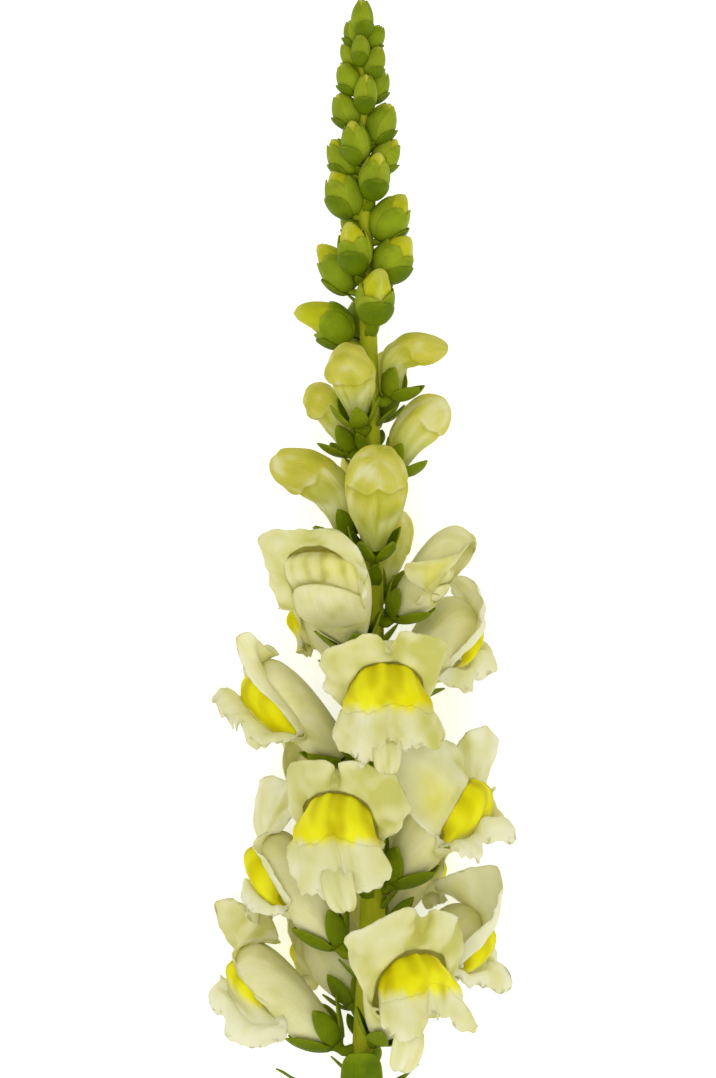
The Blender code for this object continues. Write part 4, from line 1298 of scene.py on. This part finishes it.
def seen(**places):
    """Where the edge of a bloom's lips lies at its ribs in the picture: r2 is rib 2 on its across
    side, l2 its mirror, and r6_5 lies half way from rib 6 to rib 7. Each place is (x, y), or
    (x, y, how far it is lifted)."""
    found = {}
    for key, (x, y, *lift) in places.items():
        rib = float(key[1:].replace("_", ".")) * (-1 if key[0] == "l" else 1)
        found[rib] = (*in_picture(x, y), *(lift or (0.0,)))
    return found


# ---------------------------------------------------------------- how each organ looks

# What a look says about an open bloom. A bump is (middle turn, width, height).
# notch, cleft: how deep the lips' edge is cut at the top and the bottom; torn: where it is ragged
# slim: the height of the tube's upper half; valley: how deep the hood's middle dips
# edge: the places from seen(); snug: bumps where the lips stay close to the mouth
# creased, filled: bumps where the lips dip, or where the mouth's rim stands out
# shade, lip_shade: bumps of painted shade; blush: yellow spots, by turn, along and amount
# pale, lip_pale: how much paler the upper and lower lips are, as their own whiter colour and as painted
# light; sepal: half width of the sepals
# half_open, folded, unrest: the lower lip is still folded up, scaled by this and this uneven
# rolled, bulge: the lower lip is seen from its side, and how far its fold stands out
# yellow: where the palate's yellow starts and stops fading; palate: the palate's size
# tongue: whether the middle lobe shows, where its tip and foot lie, and how wide and pale it is
FRONT = {
    "notch": 0.30, "cleft": 0.40, "torn": (), "slim": 1.0, "edge": {},
    "snug": (), "creased": (), "filled": (), "valley": 2.0,
    "shade": (), "lip_shade": (), "blush": (), "pale": 0.0, "lip_pale": 0.0, "sepal": 2.9,
    "half_open": False, "folded": (1, 1, 1), "unrest": 1.0,
    "rolled": False, "bulge": 0.50, "yellow": (8.0, 13.0), "palate": 1.0,
    "tongue": True, "tongue_tip": None, "tongue_foot": None, "tongue_width": 3.6, "tongue_pale": 0.0,
}
SIDEWAYS = FRONT | {
    "rolled": True, "tongue": False, "cleft": 0.05, "bulge": 0.7, "yellow": (0.38, 0.54),
}
HALF_OPEN = FRONT | {"half_open": True, "notch": 0.1}
LOOKS = {
    "bloom_12": FRONT | {
        "shade": ((0.30, 0.15, 0.50), (-0.42, 0.08, 0.2)), "lip_shade": ((0.76, 0.10, 0.35),),
        "palate": 0.96, "yellow": (8.6, 12.4), "tongue_tip": in_picture(386, 768),
        "tongue_width": 3.0,
        "edge": seen(
            r0=(390, 650), r0_5=(396, 636), r1=(405, 629), r1_5=(418, 632), r2=(432, 635),
            r2_5=(446, 641), r3=(443, 653), r4=(439, 673), r4_5=(431, 687), r5=(424, 700),
            r5_5=(436, 716), r6=(444, 733), r6_5=(434, 746), r7=(416, 745), r7_5=(398, 744),
            r8=(386, 738), l7_5=(368, 757), l7=(353, 754), l6_5=(341, 748), l6=(333, 732),
            l5_5=(337, 718), l5=(343, 705), l4_5=(332, 693), l4=(324, 681), l3=(320, 661),
            l2_5=(324, 650), l2=(338, 643), l1_5=(352, 638), l1=(369, 632), l0_5=(383, 640),
        ),
    },
    "bloom_07": FRONT | {
        "shade": ((0.34, 0.16, 0.42), (-0.30, 0.14, 0.2)), "lip_shade": ((0.70, 0.05, 0.2),),
        "tongue_tip": in_picture(346, 904), "tongue_width": 3.6, "palate": 0.94,
        "yellow": (9.8, 12.8), "torn": ((-0.80, 0.08, 0.12),),
        "edge": seen(
            r0=(339, 773), r0_5=(341, 760), r1=(350, 756), r1_5=(366, 759), r2=(380, 767),
            r2_5=(396, 770), r3=(405, 794), r4=(403, 815), r4_5=(396, 828), r5=(384, 838),
            r5_5=(386, 856), r6=(390, 871), r6_5=(380, 882), r7=(364, 885), r7_5=(352, 880),
            r8=(340, 866), l7_5=(328, 892), l7=(311, 890), l6_5=(296, 874), l6=(287, 854),
            l5_5=(292, 838), l5=(303, 826), l4_5=(298, 818), l4=(292, 808), l3=(289, 778),
            l2_5=(289, 762), l2=(302, 757), l1_5=(315, 756), l1=(326, 756), l0_5=(335, 764),
        ),
    },
    "bloom_01": FRONT | {
        "shade": ((0.32, 0.14, 0.36), (-0.46, 0.06, 0.2)), "blush": ((0.0, 1.35, 0.35),),
        "palate": 0.90, "yellow": (7.4, 11.0), "tongue_tip": in_picture(399, 1062),
        "tongue_width": 3.5, "tongue_pale": 0.3, "tongue_foot": in_picture(404, 1012),
        "edge": seen(
            r0=(423, 913), r0_5=(428, 906), r1=(437, 905), r2=(457, 919), r3=(459, 938),
            r4=(454, 958), r4_5=(451, 972), r5=(455, 986), r5_5=(466, 1004), r6=(476, 1023),
            r6_5=(461, 1027), r7=(445, 1012), r7_5=(436, 1014), r8=(427, 1008), l7_5=(418, 1030),
            l7=(404, 1032), l6_5=(391, 1027), l6=(384, 1020), l5_5=(380, 1012), l5=(379, 1004),
            l4_5=(366, 992), l4=(356, 969), l3=(348, 947), l2_5=(346, 930), l2=(369, 919),
            l1_5=(389, 908), l1=(404, 901), l0_5=(414, 904),
        ),
    },
    "bloom_02": SIDEWAYS | {
        "snug": ((0.34, 0.22, 0.8),), "yellow": (0.08, 0.26), "palate": 0.92,
        "shade": ((0.35, 0.2, 0.15), (-0.34, 0.16, 0.12)), "slim": 0.72,
        "filled": ((0.42, 0.16, 1.4),), "bulge": 0.40, "lip_pale": 0.6,
        "edge": seen(
            r0=(280, 944), r0_5=(268, 942), r1=(252, 942), r1_5=(239, 947), r2=(233, 957, -1),
            r2_5=(237, 968, -2), r3=(245, 980, -2.5), r4=(261, 998, -2.5), r4_5=(272, 1007, -2),
            r5=(283, 1015, -1), r5_5=(286, 1036), r6=(264, 1045), r6_5=(245, 1044), r7=(229, 1038),
            r7_5=(226, 1022), r8=(208, 1010), l7_5=(216, 996), l7=(218, 984), l4=(228, 946),
            l3_5=(219, 926), l3=(212, 908), l2_5=(232, 904), l2=(246, 911), l1_5=(265, 911),
            l1=(273, 926), l0_5=(278, 938),
        ),
    },
    "bloom_05": SIDEWAYS | {
        "pale": 0.25, "snug": ((0.34, 0.24, 0.85),), "slim": 0.8, "filled": ((0.40, 0.18, 1.2),),
        "lip_pale": 0.25,
        "edge": seen(
            r0=(296, 800), r0_5=(292, 818), r1=(280, 832), r1_5=(268, 832), r2=(258, 838),
            r3=(260, 852), r4=(272, 868), r4_5=(284, 888), r5=(292, 900), r6=(278, 912),
            r7=(252, 911), r8=(242, 893), l4=(257, 842), l3_5=(254, 826), l3=(254, 806),
            l2_5=(258, 788), l2=(267, 778), l1_5=(278, 781), l1=(290, 784),
        ),
    },
    "bloom_11": SIDEWAYS | {
        "pale": 0.1, "snug": ((0.38, 0.20, 0.85),), "slim": 0.6, "filled": ((0.32, 0.22, 1.8),),
        "torn": ((0.85, 0.1, 0.2),), "lip_pale": 0.1,
        "edge": seen(
            r0=(280, 655), r0_5=(270, 650), r1=(260, 640), r1_5=(252, 631), r2=(239, 634),
            r2_5=(237, 644), r3=(246, 668), r4=(266, 694), r4_5=(284, 712), r5=(297, 730),
            r6=(274, 740), r6_5=(254, 737), r7=(238, 728), r7_5=(228, 716), r8=(218, 702),
            l7=(230, 693), l4=(256, 690), l3=(248, 668), l2=(244, 646), l1=(262, 646),
        ),
    },
    "bloom_08": SIDEWAYS | {
        "pale": 0.2, "yellow": (0.26, 0.52), "sepal": 3.6,
        "creased": ((-0.15, 0.05, 2.2), (-0.30, 0.05, 1.0)), "shade": ((-0.14, 0.05, 0.4),),
        "blush": ((-0.42, 1.45, 0.5),), "lip_pale": 0.2,
        "edge": seen(
            r0=(456, 750), l0_5=(452, 743), l1=(444, 739), l1_5=(430, 738), l2=(414, 740),
            l2_5=(402, 745), l3=(389, 760, -4), l3_5=(391, 784, -5), l4=(404, 806, -4),
            l4_5=(422, 826, -1), r0_5=(463, 737), r1=(474, 729), r1_5=(488, 727), r2=(498, 738),
            r2_5=(497, 752), r3=(490, 768), r4=(482, 784), l5=(440, 838), l6=(456, 849),
            l6_5=(468, 856), l7=(480, 858), l7_5=(484, 842), r8=(512, 838), r7_5=(498, 824),
            r7=(494, 810), r6=(497, 790),
        ),
    },
    "bloom_04": SIDEWAYS | {
        "pale": 0.65, "notch": 0.05, "valley": 0.8, "yellow": (0.20, 0.42),
        "creased": ((-0.10, 0.05, 0.8),), "lip_pale": 0.3,
        "edge": seen(
            r0=(436, 884), l0_5=(452, 877), l1=(470, 870), l1_5=(488, 866), l2=(501, 872),
            l2_5=(502, 887), l3=(495, 906), l4=(480, 928), l4_5=(465, 943), r1=(426, 892),
            r2=(452, 886), r3=(474, 902), r4=(470, 930), l5=(450, 958), l5_5=(452, 970),
            l6=(462, 982), l7=(486, 990), r8=(505, 985), r7_5=(496, 972), r7=(490, 960),
        ),
    },
    "bloom_09": SIDEWAYS | {
        "pale": 0.6, "notch": 0.05, "valley": 0.5, "palate": 0.8, "yellow": (0.20, 0.42),
        "lip_pale": 0.1,
        "edge": seen(
            r0=(452, 577), l0_5=(460, 576), l1=(470, 579), l1_5=(478, 587), l2=(482, 600),
            l3=(480, 620), l4=(468, 640), l4_5=(456, 652), r1=(446, 581), r2=(452, 592),
            r3=(470, 612), r4=(470, 634), l5=(444, 664), l6=(442, 682), l6_5=(456, 688),
            l7=(470, 692), l7_5=(474, 680), r8=(498, 672), r7_5=(490, 662), r7=(478, 654),
        ),
    },
    "bloom_15": HALF_OPEN | {
        "valley": 0.6, "folded": (1.04, 1.0, 1.0),
        "edge": seen(
            r0=(312, 531), r1=(343, 534), r1_5=(356, 545), r2=(364, 562), r3=(366, 580),
            r4=(365, 595, -1), r5=(362, 611, -3.2), r5_5=(362, 612, -3.2), l1=(290, 530),
            l2=(268, 532), l2_5=(257, 541), l3=(266, 557), l4=(270, 580), l5=(280, 607),
        ),
    },
    "bloom_16": HALF_OPEN | {
        "valley": 0.5, "folded": (0.9, 0.70, 0.72), "shade": ((-0.42, 0.14, 0.3),),
        "blush": ((-0.46, 1.5, 0.45), (-0.60, 1.3, 0.4)), "unrest": 0.1,
        "edge": seen(
            r0=(455, 528), r1=(468, 531), r2=(470, 546), r3=(462, 555, -1), r4=(448, 566, -2),
            r5=(438, 582, -2), l1=(458, 548), l2=(450, 561), l3=(430, 560), l4=(404, 567),
            l4_5=(409, 580),
        ),
    },
}

# What a look says about a closed bud: where the hood's edge lies along it, how thick it is, how
# far it droops and bows, how short and pale it is, and the half width of its sepals.
CLOSED = {
    "fold": 0.56, "girth": 0.95, "droop": 0.16, "bow": 0.08, "short": 1.0, "pale": 0.0, "sepal": 2.7,
}
BUD_LOOKS = {
    "bud_02": CLOSED | {"fold": 0.78, "girth": 1.04, "droop": 0.10, "short": 0.90},
    "bud_03": CLOSED | {"fold": 0.66, "droop": 0.24, "girth": 0.84, "bow": 0.12, "short": 0.92},
    "bud_05": CLOSED | {"fold": 0.66, "droop": 0.10, "girth": 0.88, "pale": 0.25, "short": 0.95},
    "bud_06": CLOSED | {"girth": 0.85, "droop": 0.08},
    "bud_07": CLOSED | {"fold": 0.60, "droop": 0.12, "short": 0.88},
    "bud_09": CLOSED | {
        "fold": 0.72, "droop": 0.30, "girth": 0.80, "bow": 0.24, "short": 0.94, "sepal": 3.8,
    },
}


# ---------------------------------------------------------------- the whole stem


def dress_blooms(materials, bracts):
    """The open and half-open blooms, with their calyces and bracts."""
    for row in BLOOMS:
        name, along, side = row[:3]
        look = LOOKS.get(name, FRONT)
        seat = make_bloom(row, look, materials)
        rng = seeded(name)
        make_calyx(name, seat, rng, materials, look["sepal"])
        add_bract(bracts, along, side, rng)


def dress_cream_buds(materials, bracts):
    """The cream buds, with their calyces and bracts."""
    for row in CREAM_BUDS:
        name, along, side = row[:3]
        look = BUD_LOOKS.get(name, CLOSED)
        seat, rng = make_cream_bud(row, look, materials)
        make_calyx(name, seat, rng, materials, look["sepal"], length=7.0, spread=0.3)
        add_bract(bracts, along, side, rng)


def dress_green_buds(materials, bracts):
    """The green buds at the tip, all of them in three pieces, with bracts under the lower ones."""
    rng = np.random.default_rng(GREEN_BUDS_SEED)
    sepals, tips, cups = Skin(), Skin(), Skin()
    first = GREEN_BUDS[0][0]
    for row in GREEN_BUDS:
        along, side = row[:2]
        bud = GreenBud(row)
        bud.add_petals(tips)
        bud.add_sepals(sepals, rng)
        bud.add_cup(cups, rng)
        bud.add_stalk(sepals)
        if along < BRACTS_END:
            add_bract(bracts, along + 3.5, side, rng, 6.5 - (along - first) * 0.04, 1.7)
    sepals.build("bud_sepals", materials["bud_sepal"], "green", "stem", SCALE_THICKNESS)
    tips.build("bud_tips", materials["nose"], "green", "stem", weld=True)
    cups.build("bud_cups", materials["leaf"], "green", "stem", SCALE_THICKNESS)


def dress_leaves(materials):
    """The leaves of the bare stem."""
    for name, along, side, rise, length, half_width, blunt in LEAVES:
        rng = seeded(name, offset=80)
        seat = Seat(along, side, rise, LEAF_STALK)
        points = blade(seat, length, half_width, 0.12, 48, 13, 0.5, blunt, rng)
        Skin().add(points).build(name, materials["leaf"], "leaf", name, LEAF_THICKNESS)


def main():
    """Dresses the whole stem and sets up the studio and the camera."""
    materials = make_materials()
    make_table()
    make_lights()
    make_camera()
    make_stem(materials)
    bracts = Skin()
    dress_blooms(materials, bracts)
    dress_cream_buds(materials, bracts)
    dress_green_buds(materials, bracts)
    bracts.build("bracts", materials["leaf"], "green", "stem", BRACT_THICKNESS)
    dress_leaves(materials)


main()
